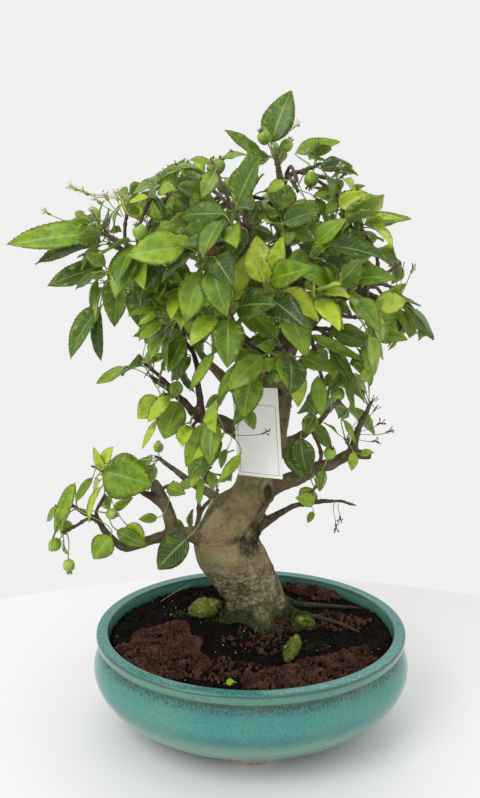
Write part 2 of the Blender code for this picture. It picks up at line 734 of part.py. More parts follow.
def trunk_rings():
    points = [seen(x, z, depth) for x, z, depth, _ in TRUNK]
    foot = points[0]
    upright = Vector((0, 0, 1))
    rings = [
        trunk_ring(Vector((foot.x, foot.y, SOIL_Z - STUB_DEPTH)), upright, STUB_RADIUS, 0.0),
        trunk_ring(Vector((foot.x, foot.y, SOIL_Z + 0.0008)), upright, STUB_RADIUS, 0.0),
        trunk_ring(Vector((foot.x, foot.y, SOIL_Z + 0.0012)), upright, FLARE_RADIUS, FLARE_LOBE),
    ]
    for i in range(1, len(points)):
        after = points[min(i + 1, len(points) - 1)]
        along = (after - points[i - 1]).normalized()
        lobe = 0.09 if i == 1 else 0.05 if i < 6 else 0.02
        rings.append(trunk_ring(points[i], along, TRUNK[i][3] * MM, lobe))
    return rings


def build_wood(routes, twigs, parts):
    trunk = new_object("trunk", mesh_from("trunk", *loft(trunk_rings())), parts)
    pieces = [trunk]
    for name, (points, radii) in routes.items():
        pieces.append(tube_object(name, points, radii, 1 if radii[0] > 0.005 else 0, parts))
    for name, (points, radii) in twigs.items():
        pieces.append(tube_object(name, points, radii, 0, parts))
    for i, knots in enumerate(SURFACE_ROOTS):
        points = [Vector((x, y, z)) * MM for x, y, z, _ in knots]
        pieces.append(tube_object(f"surface_root_{i}", points, [knot[3] * MM for knot in knots], 1, parts))
    return joined("tree_wood", pieces, parts)


def build_soil(parts):
    """One body that fills the pot, with a plain hole for the trunk's stub."""
    rings = [oval(setback * MM, height * MM) for setback, height in SOIL_WALL]
    foot = seen(*TRUNK[0][:3])
    for height in (SOIL_Z, SOIL_Z - STUB_DEPTH - GAP):
        ring = []
        for i in range(POT_SIDES):
            angle = math.tau * i / POT_SIDES
            ring.append(Vector((
                foot.x + STUB_HOLE_RADIUS * math.cos(angle), foot.y + STUB_HOLE_RADIUS * math.sin(angle), height,
            )))
        rings.append(ring)
    return new_object("soil", mesh_from("soil", *loft(rings)), parts)


def build_grit(parts):
    """Low patches of granules: rings about each patch's middle, kept inside the pot's rim."""
    rng = random.Random(SEED)
    inner_long, inner_short = RIM_LONG - RIM_LIP, RIM_SHORT - RIM_LIP
    patches = []
    for name, x, y, long_half, short_half, turn, height in GRIT_PATCHES:
        turn = math.radians(turn)
        rings = []
        for share, rise in GRIT_RINGS:
            limit = 1 - 0.05 * (1 - share)
            ring = []
            for i in range(GRIT_SPOKES):
                angle = math.tau * i / GRIT_SPOKES
                size = share * (1 + 0.13 * math.sin(3 * angle + x) + 0.09 * math.sin(5 * angle + y))
                reach = None
                while reach is None or reach > limit:
                    along, across = long_half * size * math.cos(angle), short_half * size * math.sin(angle)
                    place = Vector((
                        x + along * math.cos(turn) - across * math.sin(turn),
                        y + along * math.sin(turn) + across * math.cos(turn), 0,
                    )) * MM
                    reach = math.hypot(place.x / inner_long, place.y / inner_short)
                    size *= SPOKE_STEP
                bump = rng.uniform(0.75, 1.25) if 0 < rise else 1
                place.z = SOIL_Z + GAP + height * MM * rise * bump
                ring.append(place)
            rings.append(ring)
        patches.append(new_object(name, mesh_from(name, *loft(rings)), parts))
    return patches


def build_knobs(parts):
    """Lumpy knobs of old root with moss, flat underneath."""
    rng = random.Random(SEED + 1)
    knobs = []
    for name, x, y, half_x, half_y, height, turn in MOSS_KNOBS:
        shape = bmesh.new()
        bmesh.ops.create_icosphere(shape, subdivisions=2, radius=1)
        angle = math.radians(turn)
        for vert in shape.verts:
            lump = 1 + rng.uniform(-0.10, 0.10)
            along, across = vert.co.x * half_x * lump, vert.co.y * half_y * lump
            rise = max(0.0, 0.35 + 0.65 * vert.co.z * lump)
            vert.co = Vector((
                x + along * math.cos(angle) - across * math.sin(angle),
                y + along * math.sin(angle) + across * math.cos(angle),
                (SOIL_Z + GAP) / MM + height * rise,
            )) * MM
        mesh = bpy.data.meshes.new(name)
        shape.to_mesh(mesh)
        shape.free()
        knobs.append(new_object(name, mesh, parts))
    return knobs


def build_sprays(sprays, parts):
    """Each spray is its spur, leaves, fruits and stalks in one body."""
    built = []
    for spray in sprays:
        name = spray["name"]
        pieces = [new_object(name + "_core", mesh_from(name, *loft(core_rings(spray))), parts)]
        for leaf in spray["leaves"]:
            verts, blade, stalk = leaf_shape(leaf, BLADE_THICK)
            pieces.append(new_object(name + "_leaf", mesh_from(name, verts, blade + stalk), parts))
        for fruit in spray["fruits"]:
            pieces.append(new_object(name + "_fruit", fruit_mesh(fruit), parts))
        built.append(joined(name, pieces, parts, "MANIFOLD"))
    return built


def fruit_mesh(fruit):
    """A small round fruit on its stalk, with the dried calyx standing at its far end."""
    down = -fruit["up"]
    across = down.orthogonal().normalized()
    other = down.cross(across)
    (root, top), (root_radius, top_radius) = fruit_stalk(fruit)
    rounds = [(root, root_radius), (top, top_radius)]
    for height, size in FRUIT_PROFILE:
        rounds.append((fruit["centre"] + down * fruit["radius"] * height, fruit["radius"] * size))
    rings = []
    for centre, radius in rounds:
        ring = []
        for i in range(FRUIT_SIDES):
            angle = math.tau * i / FRUIT_SIDES
            ring.append(centre + (across * math.cos(angle) + other * math.sin(angle)) * radius)
        rings.append(ring)
    return mesh_from("fruit", *loft(rings))


def tag_frame():
    """The label's middle and turn: it leans to the left, with its right edge nearer."""
    turn = Matrix.Rotation(-TAG_TURN, 3, "Z") @ Matrix.Rotation(-TAG_LEAN, 3, "Y")
    return seen(*TAG_CENTRE), turn


def build_tag(parts):
    """A flat card with clipped corners and a hole at its top."""
    curve = bpy.data.curves.new("label_outline", "CURVE")
    curve.dimensions = "2D"
    curve.fill_mode = "BOTH"
    curve.extrude = TAG_THICK / 2
    wide, high = TAG_WIDTH / 2, TAG_HEIGHT / 2
    clip = 0.0015
    card = [
        (clip - wide, -high), (wide - clip, -high), (wide, clip - high), (wide, high - clip),
        (wide - clip, high), (clip - wide, high), (-wide, high - clip), (-wide, clip - high),
    ]
    hole = []
    for i in range(12):
        angle = -math.tau * i / 12
        hole.append((
            TAG_HOLE_RADIUS * math.cos(angle), high - TAG_HOLE_DROP + TAG_HOLE_RADIUS * math.sin(angle),
        ))
    for outline in (card, hole):
        spline = curve.splines.new("POLY")
        spline.points.add(len(outline) - 1)
        spline.use_cyclic_u = True
        for knot, (x, y) in zip(spline.points, outline):
            knot.co = (x, y, 0, 1)
    guide = new_object("label_outline", curve, parts)
    bpy.context.view_layer.update()
    mesh = welded_copy(guide)
    bpy.data.objects.remove(guide)
    tag = new_object("label_tag", mesh, parts)
    centre, turn = tag_frame()
    tag.location = centre
    tag.rotation_euler = (turn @ Matrix.Rotation(math.pi / 2, 3, "X")).to_euler()
    return tag


def tag_hole():
    centre, turn = tag_frame()
    return centre + turn @ Vector((0, 0, TAG_HEIGHT / 2 - TAG_HOLE_DROP))


def tie_points(routes):
    """A closed loop through the label's hole and over the branch above it."""
    points, radii = routes["front_mid"]
    start, end = points[0], points[1]
    hole = tag_hole()
    share = 0.80
    over = start.lerp(end, share)
    thick = radii[0] + (radii[1] - radii[0]) * share
    along = (end - start).normalized()
    upward = (over - hole)
    upward = (upward - along * upward.dot(along)).normalized()
    side = along.cross(upward)
    reach = thick * 1.08 + TIE_RADIUS + GAP
    loop = []
    for i in range(9):
        angle = math.pi * i / 8
        loop.append(over + side * reach * math.cos(angle) + upward * reach * math.sin(angle))
    _, turn = tag_frame()
    card_up = turn @ Vector((0, 0, 1))
    ahead = turn @ Vector((0, -TIE_CLEAR, 0))
    low = hole + card_up * (TAG_HOLE_RADIUS - TIE_RADIUS - GAP)
    if (loop[-1] - loop[0]).dot(ahead) < 0:
        loop.reverse()
    above = hole + card_up * 0.0085
    return [*loop, above + ahead, low + ahead, low, low - ahead, above - ahead]


def build_tie(routes, parts):
    """The loop of the label, as a closed ring of wire."""
    points = tie_points(routes)
    count = len(points)
    turns = [math.tau * k / TIE_SIDES for k in range(TIE_SIDES)]
    rings = []
    side = None
    for i in range(count):
        along = (points[(i + 1) % count] - points[i - 1]).normalized()
        side = along.orthogonal().normalized() if side is None else (side - along * side.dot(along)).normalized()
        other = along.cross(side)
        rings.append([
            points[i] + (side * math.cos(turn) + other * math.sin(turn)) * TIE_RADIUS
            for turn in turns
        ])
    verts = [point for ring in rings for point in ring]
    faces = []
    for i in range(count):
        near, far = i * TIE_SIDES, (i + 1) % count * TIE_SIDES
        for k in range(TIE_SIDES):
            after = (k + 1) % TIE_SIDES
            faces.append((near + k, near + after, far + after, far + k))
    return new_object("tag_tie", mesh_from("tag_tie", verts, faces), parts)


def build_bud(routes, parts):
    """The pink bud: a stalk and five closed petals round a pointed heart."""
    points, radii = routes["bud_twig"]
    along = (points[-1] - points[-2]).normalized()
    start = points[-1] + along * GAP
    across = along.orthogonal().normalized()
    other = along.cross(across)
    rings = []
    for height, size in BUD_PROFILE:
        ring = []
        for i in range(2 * BUD_PETALS):
            angle = math.tau * i / (2 * BUD_PETALS)
            petal = size * (1 + (0.16 * (-1) ** i if height > 4 else 0))
            outward = across * math.cos(angle) + other * math.sin(angle)
            ring.append(start + along * height * MM + outward * petal * MM)
        rings.append(ring)
    return new_object("pink_bud", mesh_from("pink_bud", *loft(rings)), parts)


def build_sprout(parts):
    """The small round leaf lying on the soil."""
    bpy.ops.mesh.primitive_cylinder_add(
        vertices=12, radius=SPROUT_RADIUS, depth=SPROUT_THICK,
        location=(*SPROUT_PLACE, SOIL_Z + GAP + SPROUT_THICK / 2),
    )
    sprout = bpy.context.active_object
    sprout.name = "sprout_leaf"
    for collection in sprout.users_collection:
        collection.objects.unlink(sprout)
    parts.objects.link(sprout)
    return sprout


def paint(pieces, name, colour, roughness):
    material = bpy.data.materials.new(name)
    material.use_nodes = True
    shader = material.node_tree.nodes["Principled BSDF"]
    shader.inputs["Base Color"].default_value = (*colour, 1)
    shader.inputs["Roughness"].default_value = roughness
    for piece in pieces:
        piece.data.materials.clear()
        piece.data.materials.append(material)


def stand_on_origin(pieces):
    """Puts the middle of the whole object's footprint at the origin."""
    bpy.context.view_layer.update()
    corners = []
    for piece in pieces:
        mesh = evaluated_mesh(piece)
        corners += [piece.matrix_world @ vert.co for vert in mesh.vertices]
        bpy.data.meshes.remove(mesh)
    low = [min(corner[k] for corner in corners) for k in range(3)]
    high = [max(corner[k] for corner in corners) for k in range(3)]
    stand = bpy.data.objects.new("bonsai_stand", None)
    bpy.context.scene.collection.objects.link(stand)
    stand.location = (-(low[0] + high[0]) / 2, -(low[1] + high[1]) / 2, -low[2])
    for piece in pieces:
        piece.parent = stand


def build():
    for obj in list(bpy.data.objects):
        bpy.data.objects.remove(obj)
    parts = bpy.data.collections.new("crabapple_bonsai")
    cutters = bpy.data.collections.new("cutters")
    for collection in (parts, cutters):
        bpy.context.scene.collection.children.link(collection)

    rng = random.Random(SEED)
    routes = branch_routes()
    tips = {name: seen(*spray[:3]) for name, spray in side_spray_names()}
    twigs = twig_routes(routes, tips)
    sprays = spray_cores(routes, twigs)
    tag = build_tag(parts)
    tie = build_tie(routes, parts)

    around = Surroundings()
    around.add_fixed("wood", *loft(trunk_rings()))
    for points, radii in (*routes.values(), *twigs.values()):
        around.add_fixed("wood", *plain_tube(points, radii, 0.0008))
    for spray in sprays:
        around.add_fixed(spray["name"], *loft(core_rings(spray)))
    for piece in (tag, tie):
        bpy.context.view_layer.update()
        corners = [piece.matrix_world @ vert.co for vert in piece.data.vertices]
        around.add_fixed("label", corners, [tuple(face.vertices) for face in piece.data.polygons])
    place_features(sprays, around, rng)
    place_fruits(sprays, around, rng)
    place_leaves(sprays, around, rng)

    pot = build_pot(parts, cutters)
    screens = build_screens(parts)
    soil = build_soil(parts)
    grit = build_grit(parts)
    knobs = build_knobs(parts)
    wood = build_wood(routes, twigs, parts)
    leafy = build_sprays(sprays, parts)
    bud = build_bud(routes, parts)
    sprout = build_sprout(parts)

    paint([pot], "teal_glaze", (0.05, 0.25, 0.22), 0.25)
    paint(screens, "black_plastic_mesh", (0.02, 0.02, 0.02), 0.6)
    paint([soil], "dark_humus", (0.03, 0.02, 0.015), 0.95)
    paint(grit, "baked_clay_grit", (0.16, 0.06, 0.035), 0.9)
    paint(knobs, "old_root_with_moss", (0.30, 0.30, 0.14), 0.9)
    paint([wood], "bark", (0.27, 0.23, 0.17), 0.85)
    paint(leafy, "leaf_green", (0.10, 0.26, 0.05), 0.45)
    paint([tag], "white_card", (0.85, 0.85, 0.83), 0.5)
    paint([tie], "tie_plastic", (0.8, 0.8, 0.78), 0.4)
    paint([bud], "bud_pink", (0.65, 0.05, 0.14), 0.5)
    paint([sprout], "sprout_green", (0.25, 0.5, 0.05), 0.4)
    stand_on_origin([pot, *screens, soil, *grit, *knobs, wood, *leafy, tag, tie, bud, sprout])


build()
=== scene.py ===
"""A crabapple bonsai in an oval glazed pot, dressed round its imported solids.

Metres, +Z up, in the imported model's frame. Lists of places on the tree are in millimetres, as
(x, z) seen from the front on the upright plane through the pot's middle, and a depth behind it.
"""

import math
import random

import bmesh
import bpy
from mathutils import Matrix, Vector, kdtree, noise
from mathutils.bvhtree import BVHTree


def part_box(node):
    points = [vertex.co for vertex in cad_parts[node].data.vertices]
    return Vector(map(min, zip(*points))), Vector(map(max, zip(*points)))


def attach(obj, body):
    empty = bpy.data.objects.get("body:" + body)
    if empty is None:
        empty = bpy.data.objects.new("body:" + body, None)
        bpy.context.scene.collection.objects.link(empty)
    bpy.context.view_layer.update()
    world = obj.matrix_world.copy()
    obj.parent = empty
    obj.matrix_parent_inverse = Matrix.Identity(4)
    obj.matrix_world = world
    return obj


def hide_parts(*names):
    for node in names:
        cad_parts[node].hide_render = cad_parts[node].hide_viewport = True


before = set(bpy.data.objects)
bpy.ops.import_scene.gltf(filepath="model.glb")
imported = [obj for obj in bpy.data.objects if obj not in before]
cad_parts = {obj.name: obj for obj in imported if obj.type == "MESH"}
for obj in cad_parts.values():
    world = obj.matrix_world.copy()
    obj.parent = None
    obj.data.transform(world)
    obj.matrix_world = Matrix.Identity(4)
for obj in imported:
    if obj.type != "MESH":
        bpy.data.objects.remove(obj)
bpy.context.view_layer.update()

# Camera: a phone held a little above the crown, about 0.7 m in front of the pot and tipped
# down at it. The tree's front view is measured from this same eye.

MM = 0.001
pot_low, pot_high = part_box("pot")
STAND = Vector(((pot_low.x + pot_high.x) / 2, (pot_low.y + pot_high.y) / 2, 0))
EYE = STAND + Vector((-0.0112, -0.7152, 0.5031))
LENS = 36 * 750 / 798
TIPPED_DOWN = math.radians(12.464)

camera = bpy.data.objects.new("camera", bpy.data.cameras.new("camera"))
bpy.context.scene.collection.objects.link(camera)
camera.data.sensor_fit = "VERTICAL"
camera.data.sensor_height = 36
camera.data.lens = LENS
camera.location = EYE
camera.rotation_euler = (math.pi / 2 - TIPPED_DOWN, 0, 0)
bpy.context.scene.camera = camera
bpy.context.scene.view_settings.view_transform = "Standard"

# Room: a plain pale round table top in soft daylight, with one broad window light from the
# upper left and front, and a weaker one from the right.

TABLE_RADIUS = 0.88
TABLE_MIDDLE = STAND + Vector((0, -0.55, 0))


def add(tree, kind, values=None, **settings):
    """A new shader node. A value that is another node's socket is linked."""
    made = tree.nodes.new(kind)
    for key, value in settings.items():
        setattr(made, key, value)
    for key, value in (values or {}).items():
        if isinstance(value, bpy.types.NodeSocket):
            tree.links.new(value, made.inputs[key])
        else:
            made.inputs[key].default_value = value
    return made


def new_material(name, roughness, **flat):
    """A material with its tree, its shader and object coordinates."""
    material = bpy.data.materials.new(name)
    material.use_nodes = True
    tree = material.node_tree
    shader = tree.nodes["Principled BSDF"]
    shader.inputs["Roughness"].default_value = roughness
    for key, value in flat.items():
        shader.inputs[key.replace("_", " ")].default_value = value
    place = add(tree, "ShaderNodeTexCoord").outputs["Object"]
    return material, tree, shader, place


def noise_at(tree, place, scale, detail=3.0, roughness=0.55, distortion=0.0):
    return add(tree, "ShaderNodeTexNoise", {
        "Vector": place, "Scale": scale, "Detail": detail, "Roughness": roughness, "Distortion": distortion,
    }).outputs["Fac"]


def ramp(tree, amount, stops):
    """Colours or grey levels by amount. A stop is (position, colour or level)."""
    made = add(tree, "ShaderNodeValToRGB", {"Fac": amount})
    bands = made.color_ramp.elements
    while len(bands) < len(stops):
        bands.new(1.0)
    for band, (position, colour) in zip(bands, stops):
        band.position = position
        band.color = (*colour, 1) if isinstance(colour, tuple) else (colour, colour, colour, 1)
    return made.outputs["Color"]


def mix(tree, amount, low, high):
    """Two colours mixed by an amount."""
    made = add(tree, "ShaderNodeMix", data_type="RGBA")
    for socket, value in ((made.inputs[0], amount), (made.inputs[6], low), (made.inputs[7], high)):
        if isinstance(value, bpy.types.NodeSocket):
            tree.links.new(value, socket)
        elif isinstance(value, tuple):
            socket.default_value = (*value, 1)
        else:
            socket.default_value = value
    return made.outputs[2]


def maths(tree, operation, a, b=0.0):
    made = add(tree, "ShaderNodeMath", operation=operation)
    for socket, value in zip(made.inputs, (a, b)):
        if isinstance(value, bpy.types.NodeSocket):
            tree.links.new(value, socket)
        else:
            socket.default_value = value
    return made.outputs[0]


def bump(tree, shader, height, distance, strength=1.0):
    made = add(tree, "ShaderNodeBump", {"Height": height, "Distance": distance, "Strength": strength})
    tree.links.new(made.outputs["Normal"], shader.inputs["Normal"])


def link_in(tree, shader, **sockets):
    for key, value in sockets.items():
        tree.links.new(value, shader.inputs[key.replace("_", " ")])


def tint(tree, shader, place, scale, detail, *stops):
    """Base colour from soft noise of this scale."""
    link_in(tree, shader, Base_Color=ramp(tree, noise_at(tree, place, scale, detail), stops))


def deselect():
    bpy.ops.object.select_all(action="DESELECT")


def apply_modifiers(obj):
    bpy.context.view_layer.objects.active = obj
    for modifier in list(obj.modifiers):
        bpy.ops.object.modifier_apply(modifier=modifier.name)


def settle(obj):
    """Applies place, turn and size, so that the object sits at the origin."""
    deselect()
    obj.select_set(True)
    bpy.context.view_layer.objects.active = obj
    bpy.ops.object.transform_apply(location=True, rotation=True, scale=True)
    obj.select_set(False)


deselect()
bpy.ops.mesh.primitive_cylinder_add(
    vertices=256, radius=TABLE_RADIUS, depth=0.018, location=TABLE_MIDDLE - Vector((0, 0, 0.009)),
)
table = bpy.context.active_object
table.name = "table_top"
edge = table.modifiers.new("edge", "BEVEL")
edge.width, edge.segments, edge.limit_method = 0.004, 3, "ANGLE"
apply_modifiers(table)
settle(table)
bpy.ops.object.shade_smooth_by_angle()
white_table, tree, shader, place = new_material("pale_table_top", 0.55)
tint(tree, shader, place, 2.0, 3, (0.3, (0.80, 0.79, 0.785)), (0.7, (0.83, 0.825, 0.82)))
table.data.materials.append(white_table)

world = bpy.data.worlds.new("pale_room")
bpy.context.scene.world = world
world.use_nodes = True
world.node_tree.nodes["Background"].inputs["Color"].default_value = (0.94, 0.94, 0.935, 1)
world.node_tree.nodes["Background"].inputs["Strength"].default_value = 0.93

for name, power, size, spot in (
    ("window_left", 11.5, 0.8, (-0.75, -0.85, 1.35)),
    ("window_right", 2.0, 1.1, (1.1, -0.3, 0.9)),
    ("window_back", 3.0, 1.2, (0.2, 1.1, 1.5)),
):
    lamp = bpy.data.objects.new(name, bpy.data.lights.new(name, "AREA"))
    lamp.data.energy = power
    lamp.data.size = size
    lamp.location = STAND + Vector(spot)
    lamp.rotation_euler = (STAND + Vector((0, 0, 0.25)) - lamp.location).to_track_quat("-Z", "Y").to_euler()
    bpy.context.scene.collection.objects.link(lamp)

# Pot: one thrown and turned stoneware oval with a flat rim, a collar over a groove and a full
# belly. It stands on four low feet of bare clay. Two drain holes go through its floor.

RIM_LONG = 0.160
RIM_SHORT = 0.128
POT_SIDES = 64
POT_WALL = (
    (60, 8), (46, 8.2), (38, 11.5), (30, 16.6), (22, 23), (14, 31.4), (7, 39.2), (1.6, 47), (-2, 55),
    (-3.9, 62.5), (-3.9, 70), (-2.2, 77), (0.6, 83), (3.4, 88), (5.4, 90.4), (5.6, 91.7), (4.2, 92.9),
    (1.2, 94.6), (0.1, 97), (-0.1, 101), (0.0, 103.6), (0.5, 104.7), (1.7, 105.1), (4, 105), (8.5, 105),
    (10.6, 104.8), (11.8, 103.8), (12.6, 101), (13.3, 95), (13.2, 88), (10, 77), (7.2, 66),
    (8.2, 55), (12, 45), (19, 35.5), (27, 28), (40, 20), (50, 18.2), (60, 18),
)
FOOT_LENGTH = 0.054
FOOT_DEPTH = 0.030
FOOT_SPREAD = (0.096, 0.068)
POT_BASE_Z = 0.008
DRAIN_RADIUS = 0.011
DRAIN_X = 0.055


def drawn_oval(name, sides, walls):
    """An oval body drawn up through its walls: half length, half width and height of each."""
    deselect()
    bpy.ops.mesh.primitive_circle_add(vertices=sides, radius=1, fill_type="NGON", location=(0, 0, 0))
    body = bpy.context.active_object
    body.name = name
    bpy.ops.object.mode_set(mode="EDIT")
    half_long, half_short, height = 1.0, 1.0, 0.0
    for number, (long_now, short_now, rise) in enumerate(walls):
        if number:
            bpy.ops.mesh.extrude_region_move(TRANSFORM_OT_translate={"value": (0, 0, rise - height)})
        else:
            bpy.ops.transform.translate(value=(0, 0, rise))
        size = (long_now / half_long, short_now / half_short, 1)
        bpy.ops.transform.resize(value=size, center_override=(0, 0, rise))
        half_long, half_short, height = long_now, short_now, rise
    bpy.ops.object.mode_set(mode="OBJECT")
    body.location = STAND
    settle(body)
    return body


def oval_walls(profile):
    """Walls of an oval from (setback from the rim's outer edge, height) pairs in millimetres."""
    return [(RIM_LONG - setback * MM, RIM_SHORT - setback * MM, rise * MM) for setback, rise in profile]


bowl = drawn_oval("glazed_bowl", POT_SIDES, oval_walls(POT_WALL))
smooth = bowl.modifiers.new("smooth", "SUBSURF")
smooth.levels = smooth.render_levels = 1
apply_modifiers(bowl)
for x in (-DRAIN_X, DRAIN_X):
    bpy.ops.mesh.primitive_cylinder_add(
        vertices=32, radius=DRAIN_RADIUS, depth=0.03, location=STAND + Vector((x, 0, 0.013)),
    )
    drill = bpy.context.active_object
    hole = bowl.modifiers.new("drain", "BOOLEAN")
    hole.object, hole.operation, hole.solver = drill, "DIFFERENCE", "EXACT"
    apply_modifiers(bowl)
    bpy.data.objects.remove(drill)
deselect()
bowl.select_set(True)
bpy.context.view_layer.objects.active = bowl
bpy.ops.object.shade_smooth_by_angle(angle=math.radians(50))

glaze, tree, shader, place = new_material(
    "teal_glaze", 0.16, Coat_Weight=0.35, Coat_Roughness=0.06, Specular_IOR_Level=0.55,
)
centred = add(tree, "ShaderNodeMapping", {"Vector": place, "Location": -STAND}).outputs["Vector"]
spread = add(tree, "ShaderNodeSeparateXYZ", {"Vector": centred})
runs = add(tree, "ShaderNodeMapping", {"Vector": centred, "Scale": (1, 1, 0.12)}).outputs["Vector"]
drips = noise_at(tree, runs, 210, 3)
wander = noise_at(tree, centred, 26, 2)
level = maths(
    tree, "ADD", spread.outputs["Z"], maths(tree, "MULTIPLY", maths(tree, "SUBTRACT", drips, 0.5), 0.0075),
)
level = maths(tree, "ADD", level, maths(tree, "MULTIPLY", maths(tree, "SUBTRACT", wander, 0.5), 0.008))
share = maths(tree, "DIVIDE", level, 0.110)
bands = ramp(tree, share, (
    (0.06, (0.030, 0.120, 0.115)), (0.17, (0.028, 0.165, 0.165)), (0.30, (0.070, 0.245, 0.180)),
    (0.44, (0.085, 0.265, 0.190)), (0.53, (0.012, 0.165, 0.170)), (0.62, (0.030, 0.235, 0.215)),
    (0.73, (0.022, 0.215, 0.200)), (0.795, (0.020, 0.130, 0.125)), (0.830, (0.008, 0.040, 0.042)),
    (0.855, (0.055, 0.175, 0.130)), (0.90, (0.090, 0.235, 0.165)), (0.945, (0.050, 0.215, 0.175)),
))
clouds = noise_at(tree, centred, 14, 4)
bands = mix(tree, ramp(tree, clouds, ((0.42, 0.0), (0.66, 0.55))), bands, (0.085, 0.270, 0.185))
true_level = maths(tree, "DIVIDE", spread.outputs["Z"], 0.110)
rim_mask = ramp(tree, true_level, ((0.9525, 0.0), (0.9542, 1.0)))
rim_spots = noise_at(tree, centred, 640, 2, 0.7)
rim_colour = ramp(
    tree, rim_spots,
    ((0.40, (0.004, 0.040, 0.050)), (0.52, (0.018, 0.260, 0.260)), (0.66, (0.080, 0.440, 0.400))),
)
colour = mix(tree, rim_mask, bands, rim_colour)
edge_line = ramp(tree, true_level, ((0.925, 0.0), (0.941, 1.0), (0.9495, 0.95), (0.9535, 0.0)))
colour = mix(tree, maths(tree, "MULTIPLY", edge_line, 0.82), colour, (0.030, 0.040, 0.034))
ticks = noise_at(
    tree, add(tree, "ShaderNodeMapping", {"Vector": centred, "Scale": (1, 1, 0.2)}).outputs["Vector"], 520, 1,
)
tick_band = ramp(tree, true_level, ((0.755, 0.0), (0.785, 1.0), (0.818, 1.0), (0.835, 0.0)))
tick_mask = maths(tree, "MULTIPLY", ramp(tree, ticks, ((0.50, 0.0), (0.56, 1.0))), tick_band)
colour = mix(tree, maths(tree, "MULTIPLY", tick_mask, 0.8), colour, (0.004, 0.045, 0.055))
specks = noise_at(tree, centred, 900, 2, 0.65)
speck_mask = ramp(tree, specks, ((0.36, 1.0), (0.46, 0.0)))
colour = mix(tree, maths(tree, "MULTIPLY", speck_mask, 0.62), colour, (0.006, 0.070, 0.075))
light_specks = ramp(tree, specks, ((0.60, 0.0), (0.70, 0.45)))
colour = mix(tree, light_specks, colour, (0.200, 0.420, 0.300))
pits = add(tree, "ShaderNodeTexVoronoi", {"Vector": centred, "Scale": 150}).outputs["Distance"]
pit_mask = ramp(tree, pits, ((0.045, 1.0), (0.085, 0.0)))
rare = ramp(tree, noise_at(tree, centred, 33, 1), ((0.54, 0.0), (0.60, 1.0)))
pit_mask = maths(tree, "MULTIPLY", pit_mask, rare)
colour = mix(tree, pit_mask, colour, (0.010, 0.020, 0.016))
inside_dark = ramp(tree, true_level, ((0.02, 0.6), (0.07, 0.0)))
colour = mix(tree, inside_dark, colour, (0.30, 0.22, 0.14))
link_in(tree, shader, Base_Color=colour, Roughness=ramp(tree, clouds, ((0.35, 0.12), (0.7, 0.26))))
relief = maths(tree, "SUBTRACT", noise_at(tree, centred, 60, 3), maths(tree, "MULTIPLY", pit_mask, 0.8))
bump(tree, shader, relief, 0.0009, 0.5)
bowl.data.materials.append(glaze)
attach(bowl, "root")
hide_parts("pot")

bare_clay, tree, shader, place = new_material("bare_clay", 0.85)
clay_colour = ramp(
    tree, noise_at(tree, place, 55, 4),
    ((0.35, (0.36, 0.27, 0.18)), (0.55, (0.52, 0.42, 0.30)), (0.7, (0.62, 0.53, 0.41))),
)
grime = ramp(tree, noise_at(tree, place, 320, 3), ((0.36, 0.7), (0.46, 0.0)))
link_in(tree, shader, Base_Color=mix(tree, grime, clay_colour, (0.16, 0.11, 0.07)))
bump(tree, shader, noise_at(tree, place, 420, 4), 0.0006, 0.7)
for name, x, y, turned in (
    ("pot_foot_front", 0, -FOOT_SPREAD[1], 0), ("pot_foot_back", 0, FOOT_SPREAD[1], 0),
    ("pot_foot_left", -FOOT_SPREAD[0], 0, 1), ("pot_foot_right", FOOT_SPREAD[0], 0, 1),
):
    deselect()
    bpy.ops.mesh.primitive_cylinder_add(vertices=48, radius=1, depth=1, end_fill_type="NGON")
    foot = bpy.context.active_object
    foot.name = name
    foot.scale = (FOOT_LENGTH / 2, FOOT_DEPTH / 2, POT_BASE_Z + 0.0025)
    foot.rotation_euler = (0, 0, turned * math.pi / 2)
    foot.location = STAND + Vector((x, y, (POT_BASE_Z + 0.0025) / 2))
    settle(foot)
    rounding = foot.modifiers.new("rounding", "BEVEL")
    rounding.width, rounding.segments, rounding.limit_method = 0.0014, 3, "ANGLE"
    fine = foot.modifiers.new("fine", "REMESH")
    fine.mode, fine.voxel_size = "VOXEL", 0.0009
    apply_modifiers(foot)
    for vert in foot.data.vertices:
        lump = noise.noise(vert.co * 130) * 0.0007 + noise.noise(vert.co * 420) * 0.00025
        outward = Vector((vert.co.x - STAND.x - x, vert.co.y - STAND.y - y, 0)).normalized()
        vert.co += outward * (lump - 0.0006 + 0.0016 * (vert.co.z / POT_BASE_Z))
        vert.co.z = max(vert.co.z, 0.0)
    foot.select_set(True)
    bpy.ops.object.shade_smooth()
    foot.data.materials.append(bare_clay)
    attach(foot, "root")

# Drain screens: two squares of moulded black plastic mesh that lie over the drain holes under
# the soil. They keep the solids' own mesh.

screen_plastic, tree, shader, place = new_material("black_plastic_mesh", 0.5)
tint(tree, shader, place, 300, 3, (0.3, (0.012, 0.012, 0.012)), (0.7, (0.030, 0.029, 0.028)))
bump(tree, shader, noise_at(tree, place, 1500, 2), 0.0002, 0.6)
for name in ("drain_screen_left", "drain_screen_right"):
    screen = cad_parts[name]
    screen.data.materials.clear()
    screen.data.materials.append(screen_plastic)

# Soil: dark damp humus that fills the pot to about a centimetre under the rim and rises a
# little to the trunk. Loose crumbs and a few white specks of perlite lie on it.

SOIL_Z = 0.095
SOIL_WALL = ((51, 19.6), (27, 30), (13.4, 45.6), (8.6, 66), (14.2, 88.2), (14.0, 93))
TRUNK_FOOT = STAND + Vector((0.0059, 0.038, 0))
SOIL_SIDES = 144
SOIL_RINGS = 40
CRUMBS = 2600
PERLITE = 70


